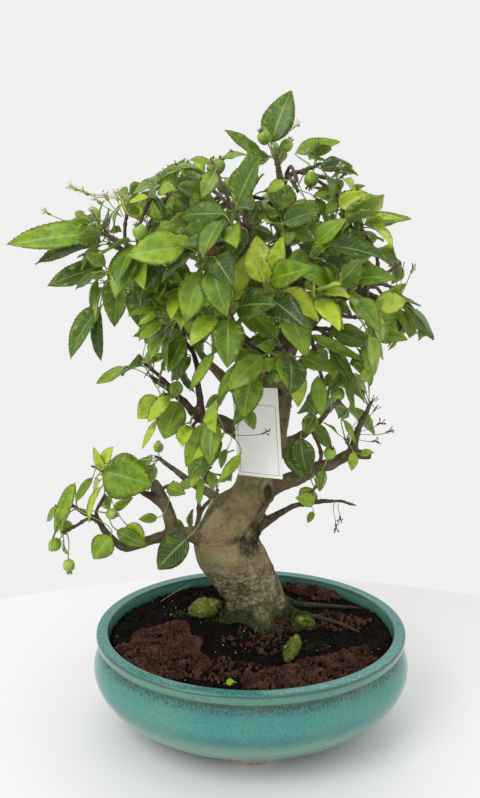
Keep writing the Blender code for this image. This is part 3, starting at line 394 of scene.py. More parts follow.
def soil_level(x, y):
    """Height of the soil's surface."""
    flat = Vector((x, y, 0))
    level = SOIL_Z + 0.0020 * noise.noise(flat * 34) + 0.0014 * noise.noise(flat * 105)
    level += 0.0008 * noise.noise(flat * 290)
    return level + 0.007 * math.exp(-((flat - TRUNK_FOOT).length / 0.046) ** 2)


def in_pot(x, y, setback):
    """Whether a place lies inside the pot's oval, this far in from the rim's outer edge."""
    across = (x - STAND.x) / (RIM_LONG - setback * MM), (y - STAND.y) / (RIM_SHORT - setback * MM)
    return math.hypot(*across) < 1


def grown(name, verts, faces, materials, slots=None, smooth=True):
    """A piece from its points and faces, which keep the winding that they come with."""
    mesh = bpy.data.meshes.new(name)
    mesh.from_pydata([tuple(vert) for vert in verts], [], faces)
    for material in materials:
        mesh.materials.append(material)
    if slots:
        mesh.polygons.foreach_set("material_index", slots)
    mesh.polygons.foreach_set("use_smooth", [smooth] * len(faces))
    mesh.update()
    obj = bpy.data.objects.new(name, mesh)
    bpy.context.scene.collection.objects.link(obj)
    return obj


def crumb_forms(count, rng):
    """A few uneven twenty-sided crumbs of unit size to copy."""
    forms = []
    for _ in range(count):
        shape = bmesh.new()
        bmesh.ops.create_icosphere(shape, subdivisions=1, radius=1)
        stretch = Vector([rng.uniform(0.75, 1.25) for _ in range(3)])
        points = [vert.co * stretch * rng.uniform(0.72, 1.18) for vert in shape.verts]
        forms.append((points, [tuple(vert.index for vert in face.verts) for face in shape.faces]))
        shape.free()
    return forms


def crumbs(name, spots, materials, rng):
    """One piece of many loose crumbs. A spot is its place and its size."""
    forms = crumb_forms(8, rng)
    verts, faces = [], []
    for place, size in spots:
        points, corners = rng.choice(forms)
        turn = Matrix.Rotation(rng.uniform(0, math.tau), 3, "Z") @ Matrix.Rotation(rng.uniform(0, math.tau), 3, "X")
        start = len(verts)
        verts += [place + turn @ point * size for point in points]
        faces += [tuple(start + i for i in corner) for corner in corners]
    return grown(name, verts, faces, materials, smooth=False)


top_long, top_short, _ = oval_walls(SOIL_WALL)[-1]
soil = drawn_oval("humus", SOIL_SIDES, oval_walls(SOIL_WALL) + [
    (top_long * share / SOIL_RINGS, top_short * share / SOIL_RINGS, SOIL_Z)
    for share in range(SOIL_RINGS - 1, 0, -1)
])
for vert in soil.data.vertices:
    if vert.co.z > 0.092:
        vert.co.z += soil_level(vert.co.x, vert.co.y) - SOIL_Z
soil.select_set(True)
bpy.ops.object.shade_smooth()

humus, tree, shader, place = new_material("dark_humus", 0.95, Specular_IOR_Level=0.08)
patches = noise_at(tree, place, 60, 4)
humus_colour = ramp(
    tree, patches,
    ((0.36, (0.0019, 0.0012, 0.0007)), (0.52, (0.0043, 0.0025, 0.0014)), (0.70, (0.0106, 0.0059, 0.0032))),
)
fibres = noise_at(tree, place, 480, 3, 0.7, 1.5)
humus_colour = mix(
    tree, ramp(tree, fibres, ((0.60, 0.0), (0.68, 0.6))), humus_colour, (0.0408, 0.0252, 0.0144),
)
link_in(tree, shader, Base_Color=humus_colour, Roughness=ramp(tree, patches, ((0.4, 0.75), (0.6, 1.0))))
bump(tree, shader, noise_at(tree, place, 330, 5, 0.7), 0.0016, 1.0)
soil.data.materials.append(humus)
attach(soil, "root")
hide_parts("soil")

rng = random.Random(21)
spots = []
while len(spots) < CRUMBS:
    x, y = STAND.x + rng.uniform(-RIM_LONG, RIM_LONG), STAND.y + rng.uniform(-RIM_SHORT, RIM_SHORT)
    if in_pot(x, y, 15.5):
        size = rng.uniform(0.0005, 0.0019) * (1.4 if rng.random() < 0.12 else 1)
        spots.append((Vector((x, y, soil_level(x, y) + size * rng.uniform(-0.2, 0.5))), size))
humus_crumbs = crumbs("humus_crumbs", spots, [humus], rng)
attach(humus_crumbs, "root")

white_specks, tree, shader, place = new_material("white_perlite", 0.8)
tint(tree, shader, place, 900, 3, (0.35, (0.30, 0.27, 0.22)), (0.6, (0.72, 0.70, 0.64)))
bump(tree, shader, noise_at(tree, place, 2400, 2), 0.0002, 0.6)
spots = []
while len(spots) < PERLITE:
    x, y = STAND.x + rng.uniform(-RIM_LONG, RIM_LONG), STAND.y + rng.uniform(-RIM_SHORT, RIM_SHORT)
    if in_pot(x, y, 17):
        size = rng.uniform(0.0003, 0.0008)
        spots.append((Vector((x, y, soil_level(x, y) + 0.0012)), size))
perlite = crumbs("perlite_specks", spots, [white_specks], rng)
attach(perlite, "root")

# Grit: reddish-brown baked clay in soft crumbly heaps on the soil, poured at the left up to
# the rim, along the front right and at the back right.

GRIT_HEAPS = (
    ("grit_left", -92, -42, 50, 56, -24, 6.5, 2100),
    ("grit_front", 62, -73, 72, 24, 20, 5.5, 1500),
    ("grit_back", 74, 86, 36, 15, -20, 5.5, 520),
)
STRAY_GRIT = (
    (40, 10, 26, 150), (-30, -70, 30, 130), (20, -88, 34, 150), (96, 20, 30, 120), (10, -20, 40, 150),
)

baked_clay, tree, shader, place = new_material("baked_clay_grit", 0.95, Specular_IOR_Level=0.15)
clay_patches = noise_at(tree, place, 75, 3)
clay_colour = ramp(
    tree, clay_patches,
    ((0.34, (0.018, 0.008, 0.005)), (0.50, (0.048, 0.020, 0.012)), (0.68, (0.095, 0.042, 0.025))),
)
clay_dust = noise_at(tree, place, 700, 3)
clay_colour = mix(tree, ramp(tree, clay_dust, ((0.55, 0.0), (0.72, 0.7))), clay_colour, (0.150, 0.078, 0.050))
link_in(tree, shader, Base_Color=clay_colour)
bump(tree, shader, noise_at(tree, place, 1300, 3), 0.0007, 0.9)


def heap_spots(x, y, long_half, short_half, turn, height, count, rng):
    """Places in a heap: an uneven oval, highest at its middle."""
    turn = math.radians(turn)
    spots = []
    while len(spots) < count:
        angle, share = rng.uniform(0, math.tau), math.sqrt(rng.random())
        edge = 0.94 + 0.16 * math.sin(3 * angle + x) + 0.10 * math.sin(7 * angle + y)
        along, across = long_half * share * edge * math.cos(angle), short_half * share * edge * math.sin(angle)
        place = STAND + MM * Vector((
            x + along * math.cos(turn) - across * math.sin(turn),
            y + along * math.sin(turn) + across * math.cos(turn), 0,
        ))
        if in_pot(place.x, place.y, 16):
            size = rng.uniform(0.0011, 0.0026)
            lift = height * MM * (1 - share ** 3) * rng.uniform(0.35, 1.0)
            place.z = soil_level(place.x, place.y) + lift + 0.5 * size
            spots.append((place, size))
    return spots


for name, x, y, long_half, short_half, turn, height, count in GRIT_HEAPS:
    spots = heap_spots(x, y, long_half, short_half, turn, height, count, rng)
    heap = crumbs("granules_" + name[5:], spots, [baked_clay], rng)
    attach(heap, "root")
    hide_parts(name)
spots = []
for x, y, reach, count in STRAY_GRIT:
    spots += heap_spots(x, y, reach, reach * 0.7, 0, 0.4, count, rng)
stray = crumbs("granules_stray", spots, [baked_clay], rng)
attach(stray, "root")

# Wood: root flare, leaning trunk, stems, branches and surface roots, grown as one. The old
# bark is grey-beige, scaly low down, with a deep fold, an old pruning scar and a knot.

SEED = 7
GAP = 0.0003
STUB_DEPTH = 0.022
STUB_RADIUS = 0.031
FLARE_LOBE = 0.13
FLARE_RADIUS = 0.037
FLARE_LOBES = 5
TRUNK_SIDES = 15
TWIG_TIP_RADIUS = 0.0016
TRUNK = (
    (5, 129, 38, 29), (2, 143, 37, 28.5), (-6, 159, 36, 31), (-16, 176, 34, 34),
    (-25, 192, 32, 34), (-25, 207, 31, 31), (-16, 224, 30, 28), (-3, 241, 29, 22.5),
    (5, 262, 27, 20.5), (12, 290, 26, 20), (17, 322, 24, 19.5), (22, 350, 21, 19), (25, 374, 18, 16),
)
BRANCHES = {
    "apex": ((24, 366, 18, 14), (31, 392, 18, 12), (40, 426, 17, 9.5), (42, 455, 16, 8),
             (32, 482, 15, 7), (29, 512, 16, 5.6), (28, 540, 18, 4.2), (24, 560, 18, 2.8)),
    "left_stem": ((18, 358, 18, 11), (4, 385, 12, 8.5), (-12, 407, 6, 7), (-28, 425, 2, 6.2),
                  (-45, 447, -2, 5.4), (-66, 460, -8, 4.5), (-92, 474, -14, 3.6), (-122, 488, -18, 2.4)),
    "right_mid": ((28, 384, 14, 8), (40, 403, 8, 7), (52, 414, 2, 6), (72, 437, -4, 5),
                  (96, 446, -8, 4), (122, 442, -10, 2.6)),
    "right_low": ((6, 250, 25, 11), (28, 258, 18, 9), (48, 264, 12, 7.6), (63, 274, 6, 6.4),
                  (82, 281, 2, 5.6), (99, 292, 0, 4.6), (104, 312, -2, 3.4), (112, 330, -4, 2.2)),
    "right_stub": ((96, 290, 0, 4.6), (108, 289, -1, 4.4), (119, 287, -2, 4.2)),
    "low_twig": ((2, 208, 26, 6), (28, 227, 11, 3.6), (49, 236, 6, 2.6), (70, 240, 4, 2.1),
                 (86, 240, 2, 1.7), (106, 235, 0, 1.3)),
    "low_left": ((-36, 200, 26, 13), (-58, 203, 18, 9), (-79, 203, 12, 6.5), (-101, 199, 6, 5.2),
                 (-127, 190, 0, 4.4), (-141, 198, -4, 3.6), (-154, 217, -6, 3), (-170, 228, -6, 2.2)),
    "cut_stub": ((-79, 203, 12, 7.2), (-84, 227, 12, 6.3), (-92, 248, 12, 5.5), (-99, 260, 12, 4.8)),
    "spur_up": ((-88, 236, 12, 4), (-112, 251, 4, 3), (-134, 263, 0, 2.2)),
    "mid_left": ((2, 298, 22, 10), (-16, 313, 8, 7), (-30, 323, 0, 6), (-44, 324, -4, 5.2),
                 (-56, 330, -6, 4.4), (-69, 345, -8, 3.5), (-88, 360, -10, 2.4)),
    "bud_twig": ((-50, 326, -5, 4.2), (-51, 356, -6, 3.2), (-55, 388, -6, 2.6), (-64, 404, -6, 2.1),
                 (-69, 428, -6, 1.7), (-71, 438, -6, 1.5)),
    "thin_twig": ((-52, 203, 20, 4), (-53, 224, 14, 2.6), (-40, 242, 8, 2)),
    "back_left": ((14, 322, 28, 9), (-4, 345, 58, 7.2), (-28, 366, 88, 5.4), (-50, 392, 112, 3.8),
                  (-66, 420, 126, 2.4)),
    "back_right": ((22, 356, 24, 9.5), (42, 374, 55, 7.2), (64, 394, 86, 5.4), (80, 418, 110, 3.8),
                   (90, 446, 124, 2.4)),
    "back_top": ((38, 418, 18, 7), (30, 442, 48, 5.6), (18, 472, 74, 4), (2, 500, 90, 2.4)),
    "front_top": ((40, 440, 15, 6.6), (22, 462, -18, 5), (2, 484, -46, 3.8), (-14, 504, -66, 2.4)),
    "front_mid": ((14, 372, 8, 7.4), (-4, 388, -20, 5), (-14, 402, -48, 3.8), (-20, 422, -72, 2.4)),
    "front_right": ((34, 398, 10, 7.4), (48, 410, -22, 5), (62, 424, -50, 3.8), (74, 440, -72, 2.4)),
    "back_low_right": ((14, 292, 30, 7.6), (38, 302, 58, 5.6), (60, 316, 82, 4), (76, 334, 98, 2.4)),
    "back_low_left": ((-14, 228, 44, 7.6), (-38, 246, 72, 5.6), (-64, 262, 94, 4), (-86, 280, 108, 2.4)),
}
SURFACE_ROOTS = (
    ((30, 50, 104, 8), (52, 54, 98.5, 4), (90, 51, 97.6, 2.2), (124, 45, 97.2, 1.4)),
    ((32, 34, 104, 8), (56, 31, 98.8, 3), (88, 18, 97.6, 2), (114, -4, 97.2, 1.3)),
)


REACH = STAND.y - EYE.y


def seen(x, z, depth):
    """The place seen from the front at x and z, this far behind the pot's middle."""
    front = STAND + Vector((x, 0, z)) * MM
    return EYE + (front - EYE) * ((depth * MM + REACH) / REACH)


def as_seen(point):
    """x and z in millimetres where the line of sight to this point meets the middle plane."""
    front = EYE + (point - EYE) * (REACH / (point.y - EYE.y))
    return (front.x - STAND.x) / MM, front.z / MM


def loft(rings):
    """Vertices and faces of a closed body through rings of equally many points."""
    sides = len(rings[0])
    verts = [point for ring in rings for point in ring]
    faces = [tuple(range(sides)), tuple(range(len(verts) - sides, len(verts)))]
    for i in range(len(rings) - 1):
        for j in range(sides):
            a, b = i * sides + j, i * sides + (j + 1) % sides
            faces.append((a, b, b + sides, a + sides))
    return verts, faces


def branch_routes():
    """Each branch as its points and radii, in metres."""
    routes = {}
    for name, knots in BRANCHES.items():
        points = [seen(x, z, depth) for x, z, depth, _ in knots]
        radii = [radius * MM for *_, radius in knots]
        routes[name] = (points, radii)
    return routes


def twig_routes(routes, tips):
    """A curved twig from the nearest wood to each tip, nearest tips first."""
    nodes = []
    for points, radii in routes.values():
        for i in range(1, len(points) - 1):
            nodes.append((points[i], radii[i], (points[i] - points[i - 1]).normalized()))
    twigs = {}
    waiting = dict(tips)
    while waiting:
        best = None
        for name, tip in waiting.items():
            for place, radius, along in nodes:
                way = tip - place
                cost = way.length + 0.3 * max(0.0, place.z - tip.z)
                cost += 0.3 * way.length * (1 - way.normalized().dot(along))
                if radius > 0.002 and (best is None or cost < best[0]):
                    best = (cost, name, place, radius, along)
        _, name, place, radius, along = best
        tip = waiting.pop(name)
        way = tip - place
        bend = place + along * way.length * 0.45 + Vector((0, 0, 0.04 * way.length))
        thick = min(radius * 0.8, TWIG_TIP_RADIUS + 0.022 * way.length)
        points = []
        radii = []
        steps = 3 if way.length > 0.03 else 2
        for i in range(steps + 1):
            t = i / steps
            points.append(place * (1 - t) ** 2 + bend * 2 * t * (1 - t) + tip * t * t)
            radii.append(thick + (TWIG_TIP_RADIUS - thick) * t)
        twigs[name] = (points, radii)
        for i in range(1, steps):
            nodes.append((points[i], radii[i], (points[i + 1] - points[i - 1]).normalized()))
    return twigs


def trunk_ring(centre, along, radius, lobe, sides=TRUNK_SIDES):
    """A ring across the trunk. The lobes are the root flare's ribs."""
    side = Vector((1, 0, 0))
    side = (side - along * side.dot(along)).normalized()
    back = along.cross(side)
    ring = []
    for i in range(sides):
        angle = math.tau * i / sides
        size = radius * (1 + lobe * math.cos(FLARE_LOBES * angle + 0.6))
        ring.append(centre + (side * math.cos(angle) + back * math.sin(angle)) * size)
    return ring


def trunk_rings():
    points = [seen(x, z, depth) for x, z, depth, _ in TRUNK]
    foot = points[0]
    upright = Vector((0, 0, 1))
    rings = [
        trunk_ring(Vector((foot.x, foot.y, SOIL_Z - STUB_DEPTH)), upright, STUB_RADIUS, 0.0),
        trunk_ring(Vector((foot.x, foot.y, SOIL_Z + 0.0008)), upright, STUB_RADIUS, 0.0),
        trunk_ring(Vector((foot.x, foot.y, SOIL_Z + 0.0012)), upright, FLARE_RADIUS, FLARE_LOBE),
    ]
    for i in range(1, len(points)):
        after = points[min(i + 1, len(points) - 1)]
        along = (after - points[i - 1]).normalized()
        lobe = 0.09 if i == 1 else 0.05 if i < 6 else 0.02
        rings.append(trunk_ring(points[i], along, TRUNK[i][3] * MM, lobe))
    return rings


def smoothed(knots, parts):
    """Values along a smooth curve through the knots, with this many steps between each two."""
    found = []
    for i in range(len(knots) - 1):
        before, start, end = knots[max(i - 1, 0)], knots[i], knots[i + 1]
        after = knots[min(i + 2, len(knots) - 1)]
        for step in range(parts):
            t = step / parts
            found.append(
                0.5 * (2 * start + (end - before) * t + (2 * before - 5 * start + 4 * end - after) * t * t
                       + (3 * start - before - 3 * end + after) * t ** 3)
            )
    return [*found, knots[-1]]


def tube(points, radii, sides):
    """Points and faces of a closed round tube."""
    rings = []
    side = (points[1] - points[0]).orthogonal().normalized()
    for i, (point, radius) in enumerate(zip(points, radii)):
        along = (points[min(i + 1, len(points) - 1)] - points[max(i - 1, 0)]).normalized()
        side = (side - along * side.dot(along)).normalized()
        other = along.cross(side)
        turns = [math.tau * k / sides for k in range(sides)]
        rings.append([point + (side * math.cos(turn) + other * math.sin(turn)) * radius for turn in turns])
    return loft(rings)


def fine_trunk_rings():
    """The trunk's own rings, with more sides and steps, from the hidden stub up over the flare."""
    places = [seen(x, z, depth) for x, z, depth, _ in TRUNK]
    foot = Vector((places[0].x, places[0].y, 0))
    low = [(0.0950, 0.0395), (0.0990, 0.0375), (0.1040, 0.0340)]
    knots = [foot + Vector((0, 0, height)) for height, _ in low] + places[1:]
    girths = [girth for _, girth in low] + [radius * MM for *_, radius in TRUNK[1:]]
    lobes = [0.17, 0.16, 0.13, 0.08, 0.06, 0.05, 0.04, 0.04, 0.03] + [0.02] * (len(TRUNK) - 7)
    path, girth, lobe = smoothed(knots, 5), smoothed(girths, 5), smoothed(lobes, 5)
    rings = [
        trunk_ring(foot + Vector((0, 0, height)), Vector((0, 0, 1)), STUB_RADIUS, 0.0, 60)
        for height in (SOIL_Z - STUB_DEPTH, SOIL_Z - 0.001)
    ]
    for i in range(len(path)):
        along = (path[min(i + 1, len(path) - 1)] - path[max(i - 1, 0)]).normalized()
        rings.append(trunk_ring(path[i], along, girth[i], lobe[i], 60))
    return rings, path, girth


routes = branch_routes()
rng = random.Random(31)
trunk_loft, trunk_path, trunk_girth = fine_trunk_rings()
bodies = [loft(trunk_loft)]
bones = list(zip(trunk_path, trunk_girth))
root_routes = [
    (
        [STAND + Vector(knot[:3]) * MM for knot in knots], [knot[3] * MM for knot in knots],
    ) for knots in SURFACE_ROOTS
]
for points, radii in (*routes.values(), *root_routes):
    wander = rng.uniform(0, 99)
    path, girth = smoothed(points, 6), smoothed(radii, 6)
    for i, place in enumerate(path):
        sway = min(1, 0.4 * i) * min(1, 0.4 * (len(path) - 1 - i))
        drift = noise.noise_vector(place * 55 + Vector((wander, 0, 0))) * 0.0016
        path[i] = place + drift * sway
        girth[i] = girth[i] * (1 + 0.16 * noise.noise(place * 120)) + 0.00025
        if i < 3:
            girth[i] *= 1.35 - 0.11 * i
    bodies.append(tube(path, girth, 16))
    bones += list(zip(path, girth))
verts, faces = [], []
for points, corners in bodies:
    faces += [tuple(len(verts) + i for i in corner) for corner in corners]
    verts += points
wood = grown("wood", verts, faces, [])
deselect()
wood.select_set(True)
bpy.context.view_layer.objects.active = wood
bpy.ops.object.mode_set(mode="EDIT")
bpy.ops.mesh.select_all(action="SELECT")
bpy.ops.mesh.normals_make_consistent(inside=False)
bpy.ops.object.mode_set(mode="OBJECT")
one_skin = wood.modifiers.new("one_skin", "REMESH")
one_skin.mode, one_skin.voxel_size = "VOXEL", 0.0015
soften = wood.modifiers.new("soften", "SMOOTH")
soften.factor, soften.iterations = 0.5, 4
apply_modifiers(wood)

# Marks on the old bark, as (x, z) seen from the front, half width, half height and depth.
HOLLOWS = (
    (-2, 190, 13, 13, 6.0), (5, 207, 8, 13, 4.5), (-12, 199, 9, 5, 2.5), (19, 373, 5, 8, 9.0),
    (16, 250, 4.2, 8.2, 3.4), (27, 352, 4, 5, 3.0), (-47, 262, 5, 8, 3.0),
)
SCAR_RING = (16, 250, 6.4, 11.0, 2.3)
KNOT_RINGS = (38, 342, 11, 14, 0.9)
FOLD = ((-22, 193), (-10, 200), (0, 214), (8, 226), (14, 240))
FOLD_DEPTH = 3.2
WRINKLES = (-36, 199, 21, 13, 1.5)


def on_bark(x, z, skin):
    """Where the line of sight from the eye through a seen place meets the wood, and its direction."""
    towards = (seen(x, z, 0) - EYE).normalized()
    hit = skin.ray_cast(EYE, towards)[0]
    return (hit or seen(x, z, 10)), towards


def nearness(vert, centre, towards, wide, high):
    """0 at a mark's middle and 1 at its edge, and how far to the right and up in metres."""
    gap = vert - centre
    right = Vector((1, 0, 0))
    up = right.cross(towards)
    return math.hypot(gap.dot(right) / (wide * MM), gap.dot(up) / (high * MM)), gap.dot(right), gap.dot(up)


def point_values(obj, name, values):
    obj.data.attributes.new(name, "FLOAT", "POINT").data.foreach_set("value", values)


def tree_of_places(places):
    """A search tree that finds the nearest of these places."""
    found = kdtree.KDTree(len(places))
    for i, place in enumerate(places):
        found.insert(place, i)
    found.balance()
    return found


skin = BVHTree.FromPolygons(
    [v.co.copy() for v in wood.data.vertices], [tuple(p.vertices) for p in wood.data.polygons],
)
hollows = [(*on_bark(x, z, skin), wide, high, deep) for x, z, wide, high, deep in HOLLOWS]
scar, knot, wrinkles = [
    (*on_bark(x, z, skin), wide, high, deep) for x, z, wide, high, deep in (SCAR_RING, KNOT_RINGS, WRINKLES)
]
fold = [on_bark(x, z, skin) for x, z in FOLD]
fold_line = smoothed([hit for hit, _ in fold], 6)
tree_of_bones = tree_of_places([place for place, _ in bones])
trunk_bones = tree_of_places(trunk_path)

count = len(wood.data.vertices)
# How dark the bark is at each point: painted shade in the hollows, along the fold, in the troughs of the
# knot's rings and the wrinkles, and where the bark is pushed in; also the darker cracks between the scales,
# the darker rings of the pruning scar and the dark bark of the surface roots.
girths, shade_and_darks, reds, lows, mosses = [[0.0] * count for _ in range(5)]
smooth_skin = [(vert.co.copy(), vert.normal.copy()) for vert in wood.data.vertices]
carved = []
for i, (place, normal) in enumerate(smooth_skin):
    nearest = tree_of_bones.find(place)[1]
    _, on_trunk, trunk_gap = trunk_bones.find(place)
    if trunk_gap < trunk_girth[on_trunk] * 1.04:
        nearest = on_trunk
    girth = bones[nearest][1]
    along = (bones[min(nearest + 1, len(bones) - 1)][0] - bones[nearest][0]).normalized()
    old = min(1.0, max(0.0, (girth - 0.0035) / 0.012))
    grain = place - along * place.dot(along) * 0.72
    push = 0.0021 * old * noise.noise(place * 30) + 0.0011 * old * noise.noise(place * 75)
    push += (0.00028 + 0.00045 * old) * noise.noise(grain * 260)
    push += 0.0004 * (1 - old) * noise.noise(place * 190)
    low = min(1.0, max(0.0, (0.172 + 0.02 * noise.noise(place * 30) - place.z) / 0.020)) * min(1.0, old * 2)
    if low:
        gaps, _ = noise.voronoi(
            Vector((place.x, place.y, place.z * 1.5)) * 165 + noise.noise_vector(place * 90) * 0.5
        )
        crack = min(1.0, (gaps[1] - gaps[0]) * 3.2)
        push += low * (0.0011 * crack - 0.0008)
        shade_and_darks[i] += low * 0.75 * max(0.0, 1 - crack * 1.5)
    new_place = place + normal * push
    if old > 0.1 and place.y < STAND.y + 0.05:
        for centre, towards, wide, high, deep in hollows:
            share, _, _ = nearness(place, centre, towards, wide, high)
            if share < 1 and (place - centre).length < 0.03:
                fall = (1 - share * share) ** 1.5
                crumple = noise.noise(place * 300 + noise.noise_vector(place * 120) * 1.5)
                rough = 0.0026 * abs(crumple) + 0.0012 * noise.noise(place * 620)
                new_place += towards * (deep * MM * fall) + normal * rough * min(1.0, fall * 2)
                # Painted shade in the hollow, deepest at its middle.
                shade_and_darks[i] += min(1.0, fall * 1.9 * deep / 4) * min(1.0, max(0.20, 1.1 - 1.8 * abs(crumple)))
        share, _, _ = nearness(place, *scar[:4])
        if share < 1.5 and (place - scar[0]).length < 0.02:
            new_place += normal * scar[4] * MM * math.exp(-((share - 0.95) / 0.24) ** 2)
            shade_and_darks[i] += 0.7 * math.exp(-((share - 1.4) / 0.12) ** 2) + 0.6 * math.exp(-((share - 0.55) / 0.2) ** 2)
        share, _, _ = nearness(place, *knot[:4])
        if share < 1.2 and (place - knot[0]).length < 0.02:
            turn = math.sin(share * 22 + 1.5 * noise.noise(place * 160))
            new_place += normal * knot[4] * MM * turn * (1.2 - share)
            # Painted shade in the troughs between the knot's rings.
            shade_and_darks[i] += max(0.0, -turn) * 0.8 * (1.2 - share)
        share, across, over = nearness(place, *wrinkles[:4])
        if share < 1 and (place - wrinkles[0]).length < 0.03:
            fade = 1 - share ** 3
            drift = 6 * noise.noise(place * 70) + 3.5 * noise.noise(place * 190)
            wave = math.sin((over + 0.25 * across * across / 0.02) * 1250 + drift)
            wave *= min(1.0, max(0.1, 0.6 + 1.6 * noise.noise(place * 140)))
            new_place += normal * fade * MM * (wrinkles[4] * 0.5 * wave + 1.2)
            # Painted shade in the troughs of the wrinkles.
            shade_and_darks[i] += fade * max(0.0, -wave) * 0.55
            reds[i] += fade
        nearest_fold = min((place - point).length for point in fold_line)
        if nearest_fold < 0.008:
            fall = math.exp(-(nearest_fold / 0.0026) ** 2)
            new_place += fold[2][1] * FOLD_DEPTH * MM * fall
            # Painted shade along the fold.
            shade_and_darks[i] += 0.8 * fall * min(1.0, max(0.2, 0.75 + noise.noise(place * 260)))
    carved.extend(new_place)
    girths[i], lows[i] = girth, low
    flat_gap = (Vector((place.x, place.y, 0)) - TRUNK_FOOT).length
    mosses[i] = min(1.0, max(0.0, (0.119 + 0.016 * noise.noise(place * 45) - place.z) / 0.014))
    mosses[i] *= min(1.0, max(0.08, (0.064 - flat_gap) / 0.012))
    if flat_gap > 0.048 and place.z < 0.112:
        shade_and_darks[i] += 0.75
    # Painted shade where the bark is pushed in.
    shade_and_darks[i] = min(1.0, shade_and_darks[i] + 0.25 * max(0.0, -push / 0.0022))
wood.data.vertices.foreach_set("co", carved)
for name, values in (("girth", girths), ("dark", shade_and_darks), ("red", reds), ("low", lows), ("moss", mosses)):
    point_values(wood, name, values)
for polygon in wood.data.polygons:
    polygon.use_smooth = True


def attribute(tree, name):
    return add(tree, "ShaderNodeAttribute", attribute_name=name).outputs["Fac"]


bark, tree, shader, place = new_material("bark", 0.82, Specular_IOR_Level=0.3)
age = ramp(
    tree, maths(tree, "DIVIDE", attribute(tree, "girth"), 0.03), ((0.10, 0.0), (0.30, 0.45), (0.62, 1.0)),
)
patches = noise_at(tree, place, 38, 4, 0.6, 0.4)
fine = noise_at(tree, place, 230, 4, 0.65)
old_bark = ramp(tree, patches, (
    (0.30, (0.095, 0.074, 0.030)), (0.44, (0.190, 0.152, 0.068)),
    (0.56, (0.280, 0.230, 0.118)), (0.72, (0.225, 0.200, 0.130)),
))
young_bark = ramp(
    tree, patches,
    ((0.34, (0.034, 0.022, 0.014)), (0.52, (0.075, 0.052, 0.033)), (0.70, (0.135, 0.105, 0.070))),
)
bark_colour = mix(tree, age, young_bark, old_bark)
bark_colour = mix(tree, ramp(tree, fine, ((0.30, 0.65), (0.46, 0.0))), bark_colour, (0.050, 0.038, 0.020))
bark_colour = mix(tree, ramp(tree, fine, ((0.56, 0.0), (0.74, 0.45))), bark_colour, (0.400, 0.350, 0.210))
algae = ramp(tree, noise_at(tree, place, 19, 3), ((0.50, 0.0), (0.66, 0.55)))
bark_colour = mix(tree, maths(tree, "MULTIPLY", algae, age), bark_colour, (0.185, 0.190, 0.070))
scaly = ramp(
    tree, noise_at(tree, place, 95, 3),
    ((0.40, (0.120, 0.088, 0.042)), (0.56, (0.300, 0.240, 0.140)), (0.70, (0.410, 0.345, 0.235))),
)
bark_colour = mix(tree, maths(tree, "MULTIPLY", attribute(tree, "low"), 0.75), bark_colour, scaly)
bark_colour = mix(
    tree, maths(tree, "MULTIPLY", attribute(tree, "red"), 0.38), bark_colour, (0.240, 0.100, 0.065),
)
# The bark darkened by the dark attribute: painted shade, with the darker cracks, scar rings and root bark.
bark_colour = mix(
    tree, maths(tree, "MULTIPLY", attribute(tree, "dark"), 0.88), bark_colour, (0.022, 0.016, 0.009),
)
moss_green = ramp(
    tree, fine, ((0.38, (0.008, 0.009, 0.004)), (0.54, (0.024, 0.030, 0.009)), (0.68, (0.060, 0.085, 0.016))),
)
bark_colour = mix(tree, maths(tree, "MULTIPLY", attribute(tree, "moss"), 0.92), bark_colour, moss_green)
link_in(tree, shader, Base_Color=bark_colour)
bump(
    tree, shader, maths(tree, "ADD", fine, maths(tree, "MULTIPLY", noise_at(tree, place, 700, 3), 0.4)),
    0.0011, 0.75,
)
wood.data.materials.append(bark)
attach(wood, "root")
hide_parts("tree_wood")

# Twigs: thin red-brown shoots with rings of old bud scars. Each runs from the wood to a short
# leafy spur, and the spurs carry the leaves and the fruit.

# Leafy spurs: which branches end without one, and a spur's length and radii.
BARE_ENDS = ("cut_stub", "right_stub", "low_twig", "bud_twig")
END_LEAVES = 5
END_SIZE = 42
SPUR_LENGTH = 0.013
SPUR_ROOT_RADIUS = 0.0026
SPUR_WAIST_RADIUS = 0.0028
SPUR_TIP_RADIUS = 0.0013
SPUR_SIDES = 5

# Sprays that stand on their own twigs: seen x and z, depth, leaves, leaf length.
SIDE_SPRAYS = (
    (50, 560, -2, 5, 36), (74, 540, -8, 5, 40), (98, 514, 2, 5, 38),
    (132, 470, 8, 5, 36), (148, 438, 2, 5, 34), (92, 410, -40, 5, 42), (78, 384, -22, 5, 40),
    (38, 398, -76, 5, 42), (-6, 524, -20, 5, 42), (-36, 542, -22, 5, 40),
    (-82, 530, -4, 5, 40), (-116, 520, 4, 3, 34), (-132, 500, -26, 3, 40), (-130, 464, -6, 4, 42),
    (-100, 490, -48, 5, 44), (-96, 458, -38, 4, 44), (-66, 486, -62, 5, 44), (-34, 484, -84, 5, 44),
    (-58, 450, -48, 4, 42), (-44, 410, -46, 4, 42), (-36, 334, -44, 3, 40),
    (8, 440, -92, 5, 44), (46, 478, -62, 5, 44), (72, 494, -34, 5, 42), (70, 476, 78, 5, 44),
    (-44, 516, 62, 5, 44), (-70, 470, 74, 5, 44), (60, 248, 2, 1, 26), (-180, 212, -8, 1, 28),
)


def core_rings(spray):
    axis = spray["axis"]
    across = axis.orthogonal().normalized()
    other = axis.cross(across)
    rings = []
    for share, size in ((0, spray["radius"]), (0.6, SPUR_WAIST_RADIUS), (1, SPUR_TIP_RADIUS)):
        centre = root_place(spray, share)
        ring = []
        for i in range(SPUR_SIDES):
            angle = math.tau * i / SPUR_SIDES
            ring.append(centre + (across * math.cos(angle) + other * math.sin(angle)) * size)
        rings.append(ring)
    return rings


def root_place(spray, share):
    return spray["start"] + spray["axis"] * spray["length"] * share


def side_spray_names():
    return [(f"twig_{i:02d}", spray) for i, spray in enumerate(SIDE_SPRAYS)]


